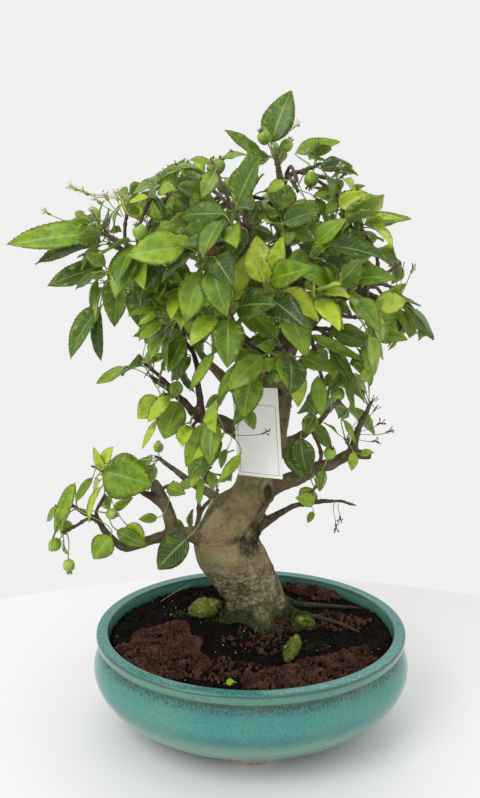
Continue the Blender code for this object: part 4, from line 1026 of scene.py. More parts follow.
def spray_cores(routes, twigs):
    """Each spray's short spur, standing off the end of its twig."""
    sprays = []
    ends = [(name, route, END_LEAVES, END_SIZE) for name, route in routes.items() if name not in BARE_ENDS]
    ends += [(name, twigs[name], count, size) for name, (_, _, _, count, size) in side_spray_names()]
    for number, (name, (points, radii), count, size) in enumerate(ends, 1):
        along = (points[-1] - points[-2]).normalized()
        sprays.append({
            "name": f"spray_{number:02d}", "start": points[-1] + along * GAP, "axis": along,
            "length": SPUR_LENGTH, "radius": min(radii[-1], SPUR_ROOT_RADIUS), "count": count,
            "size": size * MM, "leaves": [], "fruits": [],
        })
    return sprays


tips = {name: seen(*spray[:3]) for name, spray in side_spray_names()}
twigs = twig_routes(routes, tips)
sprays = spray_cores(routes, twigs)


def gather(bodies):
    """Points and faces of several bodies as one list, and which body each face comes from."""
    verts, faces, owners = [], [], []
    for number, (points, corners) in enumerate(bodies):
        faces += [tuple(len(verts) + i for i in corner) for corner in corners]
        owners += [number] * len(corners)
        verts += points
    return verts, faces, owners


def knobbly(points, radii, parts, sides, wander):
    """A twig with swollen nodes along it."""
    path, girth = smoothed(points, parts), smoothed(radii, parts)
    for i, place in enumerate(path):
        sway = min(1, 0.5 * i) * min(1, 0.5 * (len(path) - 1 - i))
        path[i] = place + noise.noise_vector(place * 90 + Vector((wander, 0, 0))) * 0.0008 * sway
        girth[i] *= 1 + (0.30 if i % 5 == 3 else -0.04) + 0.12 * noise.noise(place * 300)
    return tube(path, girth, sides)


shoots = [knobbly(points, radii, 9, 9, number) for number, (points, radii) in enumerate(twigs.values())]
verts, faces, _ = gather(shoots)
twig_bark, tree, shader, place = new_material("twig_bark", 0.6, Specular_IOR_Level=0.4)
patches = noise_at(tree, place, 90, 4)
twig_colour = ramp(
    tree, patches,
    ((0.35, (0.040, 0.018, 0.012)), (0.50, (0.085, 0.045, 0.028)), (0.66, (0.140, 0.105, 0.060))),
)
dots = ramp(tree, noise_at(tree, place, 900, 1), ((0.64, 0.0), (0.70, 0.7)))
link_in(tree, shader, Base_Color=mix(tree, dots, twig_colour, (0.300, 0.240, 0.160)))
bump(tree, shader, noise_at(tree, place, 620, 4), 0.0006, 0.8)
thin_twigs = grown("thin_twigs", verts, faces, [twig_bark])
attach(thin_twigs, "root")

# Leaves: oval, pointed blades with a toothed edge, sunk midrib and side veins, each on its own
# stalk. They stand where the solids have them, and smaller new leaves fill in between.

# Leaves that give the front view its outline: base and tip as seen, depths and width.
FEATURE_LEAVES = (
    (-147, 271, -4, -100, 257, -16, 46), (-178, 258, -8, -208, 198, -14, 15),
    (-64, 204, -2, -103, 171, -14, 33), (-141, 206, -10, -161, 181, -16, 24),
    (-126, 214, -6, -108, 195, -14, 19), (-71, 343, -22, -89, 304, -34, 29),
    (-90, 346, -16, -114, 325, -22, 22), (-122, 375, -12, -154, 362, -16, 12),
    (-144, 434, 8, -191, 388, 0, 25), (-146, 430, 10, -157, 376, 6, 15),
    (-146, 503, -28, -233, 497, -40, 26), (-146, 494, -26, -210, 484, -28, 19),
    (-140, 474, -12, -198, 459, -20, 23), (-126, 462, -22, -134, 415, -30, 25),
    (-104, 456, -48, -110, 412, -56, 24), (-82, 466, -50, -80, 418, -60, 25),
    (17, 584, 18, 31, 633, 10, 30), (8, 570, 14, -22, 599, 4, 15),
    (40, 575, 0, 80, 589, -8, 15), (62, 561, -10, 91, 568, -20, 17),
    (104, 511, -10, 147, 523, -22, 17), (148, 430, -2, 180, 405, -8, 15),
    (76, 412, -44, 121, 401, -54, 25), (62, 252, 14, 50, 234, 6, 20),
    (2, 372, -76, -10, 326, -84, 29), (-30, 304, -40, -72, 263, -50, 27),
    (40, 302, 2, 52, 262, -8, 26), (60, 532, -14, 38, 502, -22, 27),
)

# Fruits: seen x and z, depth, diameter.
FRUITS = (
    (-200, 193, -8, 13), (-187, 170, -12, 12), (-188, 212, -2, 12), (-142, 214, -14, 11),
    (11, 588, 10, 13), (31, 581, 24, 12), (54, 555, -12, 13), (-18, 545, -36, 17),
    (-32, 563, -20, 14), (-28, 519, -40, 14), (-104, 504, -60, 13), (30, 427, -92, 15),
    (78, 290, -14, 12), (57, 268, 30, 12), (84, 350, -34, 13), (-72, 548, 30, 13),
    (20, 520, 96, 14), (84, 480, 96, 13), (-80, 505, 84, 13), (96, 456, 130, 12),
    (-72, 440, 132, 13), (-92, 296, 116, 12), (84, 350, 104, 12),
)

# Where the front view stays open: the label, and the bare trunk under the crown.
OPEN_VIEWS = ((-14, 36, 236, 352), (-56, 40, 120, 250))

# The crown's outline as seen from the front.
CROWN = (
    (10, 600), (24, 640), (46, 622), (48, 592), (90, 592), (104, 566), (98, 550), (130, 538),
    (150, 518), (134, 500), (144, 468), (160, 438), (182, 402), (174, 392), (148, 404), (132, 390),
    (124, 368), (108, 344), (136, 320), (126, 288), (98, 272), (92, 250), (108, 234), (94, 216),
    (60, 214), (30, 246), (-20, 252), (-34, 220), (-56, 178), (-92, 160), (-140, 160), (-184, 150),
    (-216, 176), (-210, 232), (-162, 250), (-148, 290), (-98, 290), (-84, 262), (-62, 270),
    (-70, 300), (-114, 320), (-110, 350), (-152, 356), (-156, 378), (-118, 384), (-118, 410),
    (-152, 372), (-196, 386), (-200, 410), (-152, 440), (-172, 452), (-212, 456), (-188, 482),
    (-240, 486), (-242, 508), (-200, 520), (-164, 520), (-178, 552), (-160, 566), (-136, 538),
    (-92, 558), (-70, 572), (-20, 590),
)

# A leaf blade: (share of the length, share of the half width). Teeth point to the tip.
MARGIN = ((0.10, 0.52), (0.31, 1.0), (0.40, 0.89), (0.62, 0.82), (0.71, 0.62))
RIB = 0.44
BLADE_THICK = 0.0012
PETIOLE_RADIUS = 0.0008
ROUTE_TRIES = 60
CROWN_MIDDLE = (0, 400, 10)

# A leaf is tried a little thicker and larger than it is made, which leaves a gap round it.
TRIED_THICK = 0.0026
TRIED_GROWTH = 1.06
TRIED_PETIOLE = 0.0013
TRIED_RELIEF = 0.0012
FRUIT_CLEAR = 0.0014


def plain_tube(points, radii, grow):
    """Vertices and faces of a thick four-sided stand-in for a tube."""
    rings = []
    for i, (point, radius) in enumerate(zip(points, radii)):
        along = (points[min(i + 1, len(points) - 1)] - points[max(i - 1, 0)]).normalized()
        side = along.orthogonal().normalized()
        other = along.cross(side)
        size = radius * 1.15 + grow
        rings.append([point + side * size, point + other * size, point - side * size, point - other * size])
    return loft(rings)


def tree_of(verts, faces):
    return BVHTree.FromPolygons(verts, faces)


class Surroundings:
    """What new leaves and fruits keep clear of."""

    def __init__(self):
        self.fixed = []
        self.blades = []

    def add_fixed(self, owner, verts, faces):
        self.fixed.append((owner, box_of(verts), tree_of(verts, faces)))

    def add_blade(self, verts, faces):
        self.blades.append((box_of(verts), tree_of(verts, faces)))

    def blocked(self, verts, faces, owner, past_own):
        box = box_of(verts)
        tree = tree_of(verts, faces)
        for other, other_box, other_tree in self.fixed:
            if past_own and other == owner:
                continue
            if boxes_meet(box, other_box) and tree.overlap(other_tree):
                return True
        return any(boxes_meet(box, other) and tree.overlap(blade) for other, blade in self.blades)


def box_of(verts):
    return [(min(v[k] for v in verts), max(v[k] for v in verts)) for k in range(3)]


def boxes_meet(a, b):
    return all(a[k][0] <= b[k][1] and b[k][0] <= a[k][1] for k in range(3))


def leaf_shape(leaf, thick, grow=1.0, petiole=PETIOLE_RADIUS):
    """Vertices, blade faces and stalk faces of a toothed, folded and arched leaf."""
    base, forward, normal = leaf["base"], leaf["forward"], leaf["normal"]
    side = forward.cross(normal)
    length, half = leaf["length"] * grow, leaf["width"] * grow / 2

    def place(along, across, below):
        turn = leaf["arch"] * along
        reach = length * math.sin(turn) / leaf["arch"]
        fall = length * (1 - math.cos(turn)) / leaf["arch"]
        lift = abs(across) * leaf["fold"] - below
        return base + forward * reach + side * across + normal * (lift - fall)

    stalk = (base - leaf["root"]).normalized()
    stalk_side = (side - stalk * side.dot(stalk)).normalized()
    stalk_up = stalk_side.cross(stalk)
    verts = [
        leaf["root"] - stalk_side * petiole,
        leaf["root"] + stalk_side * petiole,
        leaf["root"] - stalk_up * petiole * 1.4,
        base - side * petiole,
        base + side * petiole,
        base - normal * petiole * 1.4,
    ]
    for sign in (-1, 1):
        for along, across in MARGIN:
            wave = leaf["wave"] * length * math.sin(9 * along + sign)
            verts.append(place(along, sign * across * half, -wave))
    verts += [place(1, 0, 0), place(RIB, 0, 0), place(RIB, 0, thick)]
    tip, top, under = 16, 17, 18
    faces = [(3, 4, top), (3, 5, under), (4, 5, under)]
    for first, start in ((3, 6), (4, 11)):
        edge = (first, *range(start, start + len(MARGIN)), tip)
        for rib in (top, under):
            faces += [(edge[i], edge[i + 1], rib) for i in range(len(edge) - 1)]
    stalk_faces = [(0, 1, 2), (0, 1, 4, 3), (1, 2, 5, 4), (2, 0, 3, 5)]
    return verts, faces, stalk_faces


def make_leaf(root, base, forward, up, length, width, rng):
    """A leaf whose blade runs forward from its base, with its upper face towards up."""
    forward = forward.normalized()
    normal = (up - forward * up.dot(forward)).normalized()
    return {
        "root": root, "base": base, "forward": forward, "normal": normal,
        "length": length, "width": width, "arch": rng.uniform(0.25, 0.75),
        "fold": rng.uniform(0.10, 0.34), "wave": rng.uniform(0.008, 0.022),
    }


def inside(point, outline):
    """Whether a seen point lies inside a closed outline."""
    x, z = point
    crossings = 0
    for (x0, z0), (x1, z1) in zip(outline, outline[1:] + outline[:1]):
        if (z0 > z) != (z1 > z) and x < x0 + (z - z0) * (x1 - x0) / (z1 - z0):
            crossings += 1
    return crossings % 2 == 1


def in_view_rules(verts):
    """Whether a leaf stays in the crown's outline and off the open parts of the front view."""
    for vert in verts:
        place = as_seen(vert)
        if not inside(place, CROWN):
            return False
        if vert.y - STAND.y < 0.05:
            for x0, x1, z0, z1 in OPEN_VIEWS:
                if x0 < place[0] < x1 and z0 < place[1] < z1:
                    return False
    return True


def clear_leaf(leaf, owner, around, free):
    """Whether the leaf, made thick and a little larger, touches nothing placed before."""
    verts, blade, stalk = leaf_shape(leaf, TRIED_THICK, TRIED_GROWTH, TRIED_PETIOLE)
    if not free and not in_view_rules(verts[6:]):
        return False
    thick = list(verts)
    thick[17] = verts[17] + leaf["normal"] * TRIED_RELIEF
    if around.blocked(thick, blade, owner, False):
        return False
    return not around.blocked(thick, stalk, owner, True)


def keep_leaf(leaf, spray, around):
    verts, blade, stalk = leaf_shape(leaf, TRIED_THICK, TRIED_GROWTH, TRIED_PETIOLE)
    around.add_blade(verts, blade)
    around.add_fixed(spray["name"], verts, stalk)
    spray["leaves"].append(leaf)


def nearest_spray(place, sprays):
    return min(sprays, key=lambda spray: (root_place(spray, 0.6) - place).length)


def place_features(sprays, around, rng):
    for x0, z0, y0, x1, z1, y1, width in FEATURE_LEAVES:
        base, tip = seen(x0, z0, y0), seen(x1, z1, y1)
        spray = nearest_spray(base, sprays)
        root = root_place(spray, 0.45 + 0.4 * (len(spray["leaves"]) % 2))
        face = Vector((0, -0.8, 0.6))
        for attempt in range(ROUTE_TRIES):
            shift = Vector((0, 0.0015 * ((attempt + 1) // 2) * (-1) ** attempt, 0))
            way = tip - base
            up = face + Vector((rng.uniform(-0.3, 0.3), 0, rng.uniform(-0.3, 0.3)))
            leaf = make_leaf(root, base + shift, way, up, way.length, width * MM, rng)
            if clear_leaf(leaf, spray["name"], around, True):
                keep_leaf(leaf, spray, around)
                break


def fruit_stalk(fruit):
    """Points and radii of the stalk, from inside the spur to the top of the fruit."""
    top = fruit["centre"] + fruit["up"] * fruit["radius"] * 0.97
    return [fruit["root"], top], [0.0008, 0.0009]


def plain_ball(centre, radius):
    """A six-sided stand-in for a fruit, a little larger than it."""
    rings = []
    for height, across in ((-1, 0.35), (-0.6, 0.95), (0.6, 0.95), (1, 0.35)):
        ring = []
        for i in range(6):
            angle = math.tau * i / 6
            ring.append(centre + radius * Vector((
                1.1 * across * math.cos(angle), 1.1 * across * math.sin(angle), height,
            )))
        rings.append(ring)
    return loft(rings)


def place_fruits(sprays, around, rng):
    for x, z, depth, size in FRUITS:
        for attempt in range(ROUTE_TRIES):
            drift = 0.0008 * attempt
            shake = Vector([rng.uniform(-drift, drift) for _ in range(3)])
            centre = seen(x, z, depth) + shake
            spray = nearest_spray(centre, sprays)
            root = root_place(spray, 0.7)
            up = (root - centre).normalized()
            fruit = {"centre": centre, "radius": size * MM / 2, "up": up, "root": root}
            ball = plain_ball(centre, fruit["radius"] + FRUIT_CLEAR)
            stalk = plain_tube(*fruit_stalk(fruit), 0.0008)
            if (root - centre).length < fruit["radius"] + 0.004:
                continue
            if around.blocked(*ball, spray["name"], False) or around.blocked(*stalk, spray["name"], True):
                continue
            around.add_fixed("fruit", *ball)
            around.add_fixed(spray["name"], *stalk)
            spray["fruits"].append(fruit)
            break


def place_leaves(sprays, around, rng):
    """Leaves turned about each spur by the golden angle, one to each spray in turn."""
    middle = seen(*CROWN_MIDDLE)
    for turn in range(max(spray["count"] for spray in sprays)):
        for number, spray in enumerate(sprays):
            if len(spray["leaves"]) >= spray["count"]:
                continue
            axis = spray["axis"]
            across = axis.orthogonal().normalized()
            other = axis.cross(across)
            outward = (spray["start"] - middle).normalized()
            for attempt in range(ROUTE_TRIES):
                angle = 2.4 * turn + number + rng.uniform(-0.5, 0.5) + 0.3 * attempt
                lean = rng.uniform(0.5, 1.25)
                around_axis = across * math.cos(angle) + other * math.sin(angle)
                way = axis * math.cos(lean) + around_axis * math.sin(lean) + outward * 0.25
                way.normalize()
                root = root_place(spray, rng.uniform(0.45, 0.85))
                base = root + way * rng.uniform(0.010, 0.022)
                forward = way + Vector((0, 0, rng.uniform(-0.9, -0.1)))
                length = spray["size"] * rng.uniform(0.72, 1.12) * (1 - 0.006 * attempt)
                width = length * rng.uniform(0.5, 0.66)
                up = Vector((0, 0, 0.45)) + Vector((outward.x, outward.y, 0)) * 0.9
                up += Vector([rng.uniform(-0.35, 0.35) for _ in range(3)])
                leaf = make_leaf(root, base, forward, up, length, width, rng)
                if clear_leaf(leaf, spray["name"], around, False):
                    keep_leaf(leaf, spray, around)
                    break


rng = random.Random(SEED)
around = Surroundings()
around.add_fixed("wood", *loft(trunk_rings()))
for points, radii in (*routes.values(), *twigs.values()):
    around.add_fixed("wood", *plain_tube(points, radii, 0.0008))
for spray in sprays:
    around.add_fixed(spray["name"], *loft(core_rings(spray)))
for name in ("label_tag", "tag_tie"):
    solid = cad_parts[name].data
    around.add_fixed(
        "label", [vert.co.copy() for vert in solid.vertices],
        [tuple(face.vertices) for face in solid.polygons],
    )
place_features(sprays, around, rng)
place_fruits(sprays, around, rng)
place_leaves(sprays, around, rng)

# Leaves read off the front view: base and tip as seen, depth, width, and how pale they are.
SEEN_LEAVES = (
    (-148, 272, -157, 294, -8, 9, 90), (-147, 280, -139, 296, -8, 12, 85), (-117, 288, -89, 294, -4, 10, 50),
    (-84, 255, -66, 249, 6, 15, 50), (-95, 223, -113, 222, 4, 10, 50), (-70, 201, -81, 215, 8, 8, 70),
    (-64, 202, -63, 221, 12, 9, 35), (-136, 208, -104, 191, -14, 16, 40), (-140, 228, -122, 241, -4, 9, 60),
    (-147, 249, -143, 231, 0, 6, 30), (-148, 249, -178, 198, -12, 6, 50), (-159, 264, -180, 238, -12, 9, 50),
    (-100, 382, -101, 409, -34, 16, 75), (-91, 411, -117, 405, -30, 8, 40), (-98, 384, -76, 396, -32, 8, 70),
    (-59, 386, -82, 364, -24, 13, 50), (-70, 362, -79, 345, -26, 13, 60), (-47, 422, -63, 406, -34, 11, 60),
    (-63, 406, -77, 400, -34, 7, 80), (-53, 413, -47, 391, -20, 11, 12), (-36, 438, -42, 456, -62, 11, 70),
    (-34, 437, -26, 420, -66, 9, 92), (-21, 442, -8, 459, -74, 15, 100), (-2, 449, 33, 439, -78, 14, 100),
    (24, 405, -2, 434, -74, 19, 45), (3, 411, -13, 436, -60, 9, 80), (-19, 420, -39, 391, -64, 15, 40),
    (-37, 390, -63, 352, -60, 10, 60), (-2, 393, -22, 384, -74, 10, 50), (-11, 379, -34, 344, -76, 13, 55),
    (6, 359, -18, 316, -64, 16, 25), (-29, 344, -46, 334, -40, 11, 40), (-79, 349, -104, 326, -24, 17, 90),
    (-93, 324, -109, 293, -28, 6, 60), (-29, 310, -61, 285, -60, 16, 85), (-48, 320, -65, 270, -54, 18, 62),
    (-4, 334, 3, 314, -56, 11, 35), (-46, 324, -30, 317, -50, 7, 60), (-11, 288, -33, 258, -46, 10, 75),
    (-48, 264, -57, 233, -20, 9, 60), (-41, 272, -37, 254, -22, 10, 50), (46, 411, 117, 399, -76, 26, 48),
    (56, 406, 118, 383, -78, 10, 55), (75, 395, 107, 356, -58, 13, 22), (97, 382, 120, 364, -50, 7, 50),
    (91, 366, 103, 332, -44, 7, 30), (47, 387, 79, 378, -82, 21, 35), (78, 384, 82, 363, -60, 12, 70),
    (92, 370, 77, 351, -50, 12, 30), (23, 389, 41, 358, -80, 15, 60), (64, 367, 69, 323, -46, 15, 55),
    (76, 360, 89, 314, -40, 11, 50), (62, 329, 51, 308, -14, 16, 22), (60, 314, 88, 287, -12, 15, 35),
    (49, 304, 55, 262, -20, 25, 12), (71, 274, 67, 250, -8, 11, 30), (64, 241, 46, 244, -2, 15, 68),
    (63, 228, 57, 217, -2, 7, 50), (100, 293, 100, 274, -6, 10, 80), (105, 296, 116, 299, -6, 8, 70),
    (90, 324, 109, 300, -8, 7, 60), (129, 436, 138, 411, -12, 10, 60), (133, 438, 153, 406, -10, 8, 50),
    (127, 438, 119, 421, -14, 12, 28), (126, 439, 105, 438, -14, 8, 40), (129, 443, 142, 459, -10, 11, 60),
    (101, 517, 139, 523, -20, 12, 100), (108, 513, 127, 507, -20, 7, 96), (80, 527, 101, 540, -26, 18, 94),
    (93, 542, 105, 548, -14, 7, 50), (99, 538, 117, 540, -14, 5, 70), (29, 513, 63, 525, -62, 20, 30),
    (22, 548, 26, 528, -50, 14, 35), (39, 553, 68, 536, -40, 8, 45), (-18, 549, -8, 521, -62, 17, 45),
    (-34, 558, -48, 537, -56, 17, 55), (-36, 560, -53, 567, -40, 10, 60), (-26, 570, -6, 576, -30, 8, 50),
    (-96, 536, -114, 534, -44, 9, 95), (-81, 513, -87, 531, -60, 20, 8), (-86, 505, -73, 513, -66, 13, 50),
    (-96, 474, -110, 457, -66, 16, 62), (-63, 469, -79, 456, -70, 12, 65), (-35, 508, -51, 482, -74, 8, 62),
    (-5, 504, -28, 477, -76, 20, 28), (-146, 460, -155, 432, -40, 7, 30), (-89, 455, -80, 424, -30, 20, 10),
    (50, 477, 76, 458, -60, 19, 18), (45, 492, 66, 480, -50, 12, 30), (82, 497, 62, 480, -40, 14, 22),
    (94, 471, 74, 454, -34, 16, 30), (9, 488, 32, 477, -66, 14, 22), (-59, 451, -72, 430, -40, 16, 20),
    (-7, 477, 10, 456, -60, 14, 35), (74, 441, 95, 430, -50, 12, 25), (50, 453, 70, 464, -66, 12, 96),
    (63, 449, 46, 430, -70, 13, 90), (74, 449, 67, 432, -66, 10, 75),
)

# Leafy shoots on the front: seen x and z, depth, leaves, leaf length.
FRONT_SHOOTS = (
    (-149, 272, -2, 3, 26), (-65, 200, 18, 3, 20), (-101, 378, -24, 3, 24), (-71, 398, -14, 4, 28),
    (-78, 349, -16, 3, 24), (-24, 438, -58, 3, 22), (37, 402, -72, 5, 32), (10, 390, -66, 3, 28),
    (-23, 314, -46, 3, 26), (127, 441, -4, 4, 26), (98, 296, 0, 3, 18), (60, 312, 0, 3, 24),
    (66, 239, 2, 2, 16), (-87, 254, 10, 2, 18), (-45, 268, -12, 3, 20), (68, 366, -36, 3, 28),
    (86, 522, -14, 4, 26), (-39, 513, -56, 4, 28), (-86, 497, -52, 4, 28), (-124, 471, -34, 4, 28),
    (40, 553, -34, 4, 26), (-75, 465, -52, 3, 26), (90, 378, -44, 3, 26), (-11, 471, -64, 3, 26),
    (74, 465, -48, 4, 28), (-34, 561, -34, 3, 24), (65, 446, -62, 3, 20), (-94, 533, -36, 3, 22),
)

# Places where the leaves are young and yellow-green: seen x and z, and how far round them.
YOUNG_PLACES = (
    (-28, 452, 16), (17, 450, 16), (54, 446, 18), (118, 520, 28), (4, 590, 12), (-88, 338, 16),
    (-150, 285, 14),
)
NEW_SHOOTS = 34
SHOOT_REACH = (0.014, 0.036)
SHOOT_APART = 0.017
SHOOT_TRIES = 9000
SHOOTS_BELOW = 575
SHOOTS_THIN_BELOW = 395
NEW_LEAF_SIZE = (16, 33)
NEW_LEAVES = 3
NEW_LEAF_TRIES = 16
NEW_LEAVES_BELOW = 0.545
NEW_LEAVES_FEW_BELOW = 0.385
LEAF_STATIONS = 22
SMALL_STATIONS = 14
COLUMNS_ABOVE = (0.0, 0.36, 0.70)
COLUMNS_BELOW = (0.0, 0.52)
BODY = 0.00034
SIDE_VEINS = 8.0


def half_width(along):
    """The blade's half width by its length, as a share of the widest."""
    return max(0.0, math.sin(math.pi * along ** 0.72)) ** 0.88


def fine_leaf(leaf, rng, stations):
    """Points, faces, face materials and leaf coordinates of one closed, toothed, veined blade."""
    base, forward, normal = leaf["base"], leaf["forward"], leaf["normal"]
    side = forward.cross(normal)
    length, half = leaf["length"], leaf["width"] / 2
    bend = rng.uniform(-0.10, 0.10)
    wander = rng.uniform(0, 50)

    def place(along, share, below):
        turn = leaf["arch"] * along
        reach = length * math.sin(turn) / leaf["arch"]
        fall = length * (1 - math.cos(turn)) / leaf["arch"]
        across = share * half * half_width(along) + bend * length * along * (1 - along) * 0.6
        size = abs(share)
        lift = size * half * half_width(along) * leaf["fold"] * (1.25 - 0.25 * size)
        lift += leaf["wave"] * length * math.sin(9 * along + (1 if share > 0 else -1)) * size * size
        lift += 0.0009 * noise.noise(Vector((along * 6, share * 2, wander))) * size
        vein = (along * 1.16 - 0.30 * size) * SIDE_VEINS
        lift += 0.00042 * (abs(math.sin(math.pi * vein)) - 0.4) * math.sin(math.pi * min(1, size * 1.1))
        return base + forward * reach + side * across + normal * (lift - fall - below)

    verts, coordinates = [], []

    def point(along, share, below=0.0):
        verts.append(place(along, share, below))
        coordinates.append((0.5 + 0.5 * share, along))
        return len(verts) - 1

    first, last = point(0.0, 0.0), point(1.0, 0.0)
    upper, lower, teeth = [], [], []
    steps = [0.5 - 0.5 * math.cos(math.pi * (0.06 + 0.88 * i / (stations - 2))) for i in range(stations - 1)]
    for number, along in enumerate(steps):
        left, right = point(along, -1.0), point(along, 1.0)
        inner = [point(along, share, 0.0004 if share == 0 else 0.0) for share in
                 (*(-c for c in reversed(COLUMNS_ABOVE[1:])), *COLUMNS_ABOVE)]
        under = [point(along, share, BODY + (0.0006 * (1 - 0.6 * along) if share == 0 else 0.0)) for share in
                 (*(-c for c in reversed(COLUMNS_BELOW[1:])), *COLUMNS_BELOW)]
        upper.append([left, *inner, right])
        lower.append([left, *under, right])
        if number < len(steps) - 1:
            after = along + 0.82 * (steps[number + 1] - along)
            reach = 1 + 0.00075 / (half * half_width(after) + 0.001) * rng.uniform(0.6, 1.3)
            teeth.append([point(after, sign * reach) for sign in (-1, 1)])
    faces, kinds = [], []
    for rows, kind, flip in ((upper, 0, False), (lower, 1, True)):
        loops = []
        for row, after, tooth in zip(rows, rows[1:], teeth):
            for j in range(len(row) - 1):
                loop = [row[j], row[j + 1], after[j + 1], after[j]]
                if j == 0:
                    loop.append(tooth[0])
                if j == len(row) - 2:
                    loop.insert(2, tooth[1])
                loops.append(loop)
        for row, end in ((rows[0], first), (rows[-1], last)):
            for j in range(len(row) - 1):
                loops.append([row[j + 1], row[j], end] if end == first else [row[j], row[j + 1], end])
        faces += [tuple(reversed(loop)) if flip else tuple(loop) for loop in loops]
        kinds += [kind] * len(loops)
    return verts, faces, kinds, coordinates


def stalk_tube(start, end, leave, arrive, thick, sides=5, steps=6):
    """A thin curved stalk that leaves and arrives in given directions."""
    reach = (end - start).length
    one, two = start + leave * reach * 0.34, end - arrive * reach * 0.34
    points, radii = [], []
    for i in range(steps + 1):
        t = i / steps
        points.append(
            start * (1 - t) ** 3 + one * 3 * t * (1 - t) ** 2 + two * 3 * t * t * (1 - t) + end * t ** 3
        )
        radii.append(thick * (1.35 - 0.9 * t * (1 - t) * 2 + (0.10 if i == steps else 0)))
    return tube(points, radii, sides)


def spur_shape(spray, rng):
    """The spur as a ringed, knobbly stub that grows out of the twig's end, with dry bud scales."""
    points, radii = [], []
    for i in range(15):
        share = -0.45 + 1.53 * i / 14
        place = root_place(spray, share)
        points.append(place + noise.noise_vector(place * 200) * 0.0004)
        swell = 1.14 if i % 2 else 0.88
        slim = 1.10 - 0.42 * max(0.0, share)
        radii.append(spray["radius"] * slim * swell * (0.5 if i in (0, 14) else 1) * rng.uniform(0.92, 1.08))
    bodies = [tube(points, radii, 8)]
    across = spray["axis"].orthogonal().normalized()
    for i in range(rng.choice((2, 3, 4))):
        turn = Matrix.Rotation(rng.uniform(0, math.tau), 3, spray["axis"])
        way = (turn @ across + spray["axis"] * rng.uniform(0.4, 1.2)).normalized()
        start = root_place(spray, rng.uniform(-0.1, 0.95))
        length = rng.uniform(0.0028, 0.0050)
        bodies.append(tube(
            [start, start + way * length * 0.45, start + way * length * 0.8, start + way * length],
            [0.0008, rng.uniform(0.0011, 0.0015), 0.0009, 0.0002], 6,
        ))
    return gather(bodies)[:2]


def blade_pattern(tree):
    """How far off the midrib a place is, and a wave that is 0 along each side vein."""
    blade_uv = add(tree, "ShaderNodeUVMap", uv_map="blade").outputs["UV"]
    spread = add(tree, "ShaderNodeSeparateXYZ", {"Vector": blade_uv})
    centred = maths(tree, "SUBTRACT", spread.outputs["X"], 0.5)
    off_rib = maths(tree, "ABSOLUTE", maths(tree, "MULTIPLY", centred, 2.0))
    forward = maths(tree, "MULTIPLY", spread.outputs["Y"], 1.16)
    vein_way = maths(tree, "SUBTRACT", forward, maths(tree, "MULTIPLY", off_rib, 0.30))
    waves = maths(tree, "SINE", maths(tree, "MULTIPLY", vein_way, math.pi * SIDE_VEINS))
    return off_rib, maths(tree, "ABSOLUTE", waves)


leaf_top, tree, shader, place = new_material(
    "leaf_top", 0.36, Specular_IOR_Level=0.26, Coat_Weight=0.20, Coat_Roughness=0.16,
    Subsurface_Weight=0.22, Subsurface_Scale=0.0016, Subsurface_Radius=(0.8, 1.0, 0.15),
)
off_rib, vein_wave = blade_pattern(tree)
tone = attribute(tree, "tone")
side_vein = ramp(tree, vein_wave, ((0.0, 1.0), (0.09, 0.75), (0.22, 0.0)))
midrib = ramp(tree, off_rib, ((0.0, 1.0), (0.035, 0.9), (0.075, 0.0)))
vein_mask = maths(
    tree, "MAXIMUM", maths(tree, "MULTIPLY", side_vein, ramp(tree, off_rib, ((0.75, 0.60), (1.0, 0.2)))),
    midrib,
)
# The tone picks the green, so its lower values also carry the painted shade inside the crown.
greens = ramp(tree, tone, (
    (0.0, (0.008, 0.030, 0.002)), (0.30, (0.052, 0.124, 0.004)), (0.60, (0.186, 0.324, 0.008)),
    (0.82, (0.350, 0.505, 0.020)), (1.0, (0.570, 0.670, 0.050)),
))
clouds = noise_at(tree, place, 110, 4)
top_colour = mix(tree, ramp(tree, clouds, ((0.32, 0.55), (0.55, 0.0))), greens, (0.024, 0.066, 0.007))
# Pale patches from the same noise: a painted sheen on the leaves.
top_colour = mix(tree, ramp(tree, clouds, ((0.52, 0.0), (0.74, 0.4))), top_colour, (0.280, 0.380, 0.030))
vein_colour = mix(tree, 0.55, top_colour, (0.440, 0.520, 0.130))
top_colour = mix(tree, maths(tree, "MULTIPLY", vein_mask, 0.75), top_colour, vein_colour)
old_spots = maths(
    tree, "MULTIPLY", ramp(tree, noise_at(tree, place, 300, 2), ((0.66, 0.0), (0.72, 0.7))),
    ramp(tree, off_rib, ((0.3, 0.15), (0.95, 1.0))),
)
top_colour = mix(tree, old_spots, top_colour, (0.150, 0.095, 0.020))
edge_line = ramp(tree, off_rib, ((0.955, 0.0), (1.0, 0.45)))
top_colour = mix(tree, edge_line, top_colour, (0.260, 0.300, 0.060))
net = add(
    tree, "ShaderNodeTexVoronoi", {"Vector": place, "Scale": 900}, feature="DISTANCE_TO_EDGE",
).outputs["Distance"]
blade_relief = maths(
    tree, "ADD", maths(tree, "MULTIPLY", ramp(tree, net, ((0.0, 0.0), (0.18, 1.0))), 0.35),
    maths(tree, "MULTIPLY", vein_mask, -1.0),
)
blade_relief = maths(tree, "ADD", blade_relief, maths(tree, "MULTIPLY", clouds, 0.6))
link_in(tree, shader, Base_Color=top_colour, Roughness=ramp(tree, clouds, ((0.35, 0.28), (0.65, 0.44))))
bump(tree, shader, blade_relief, 0.00028, 0.75)

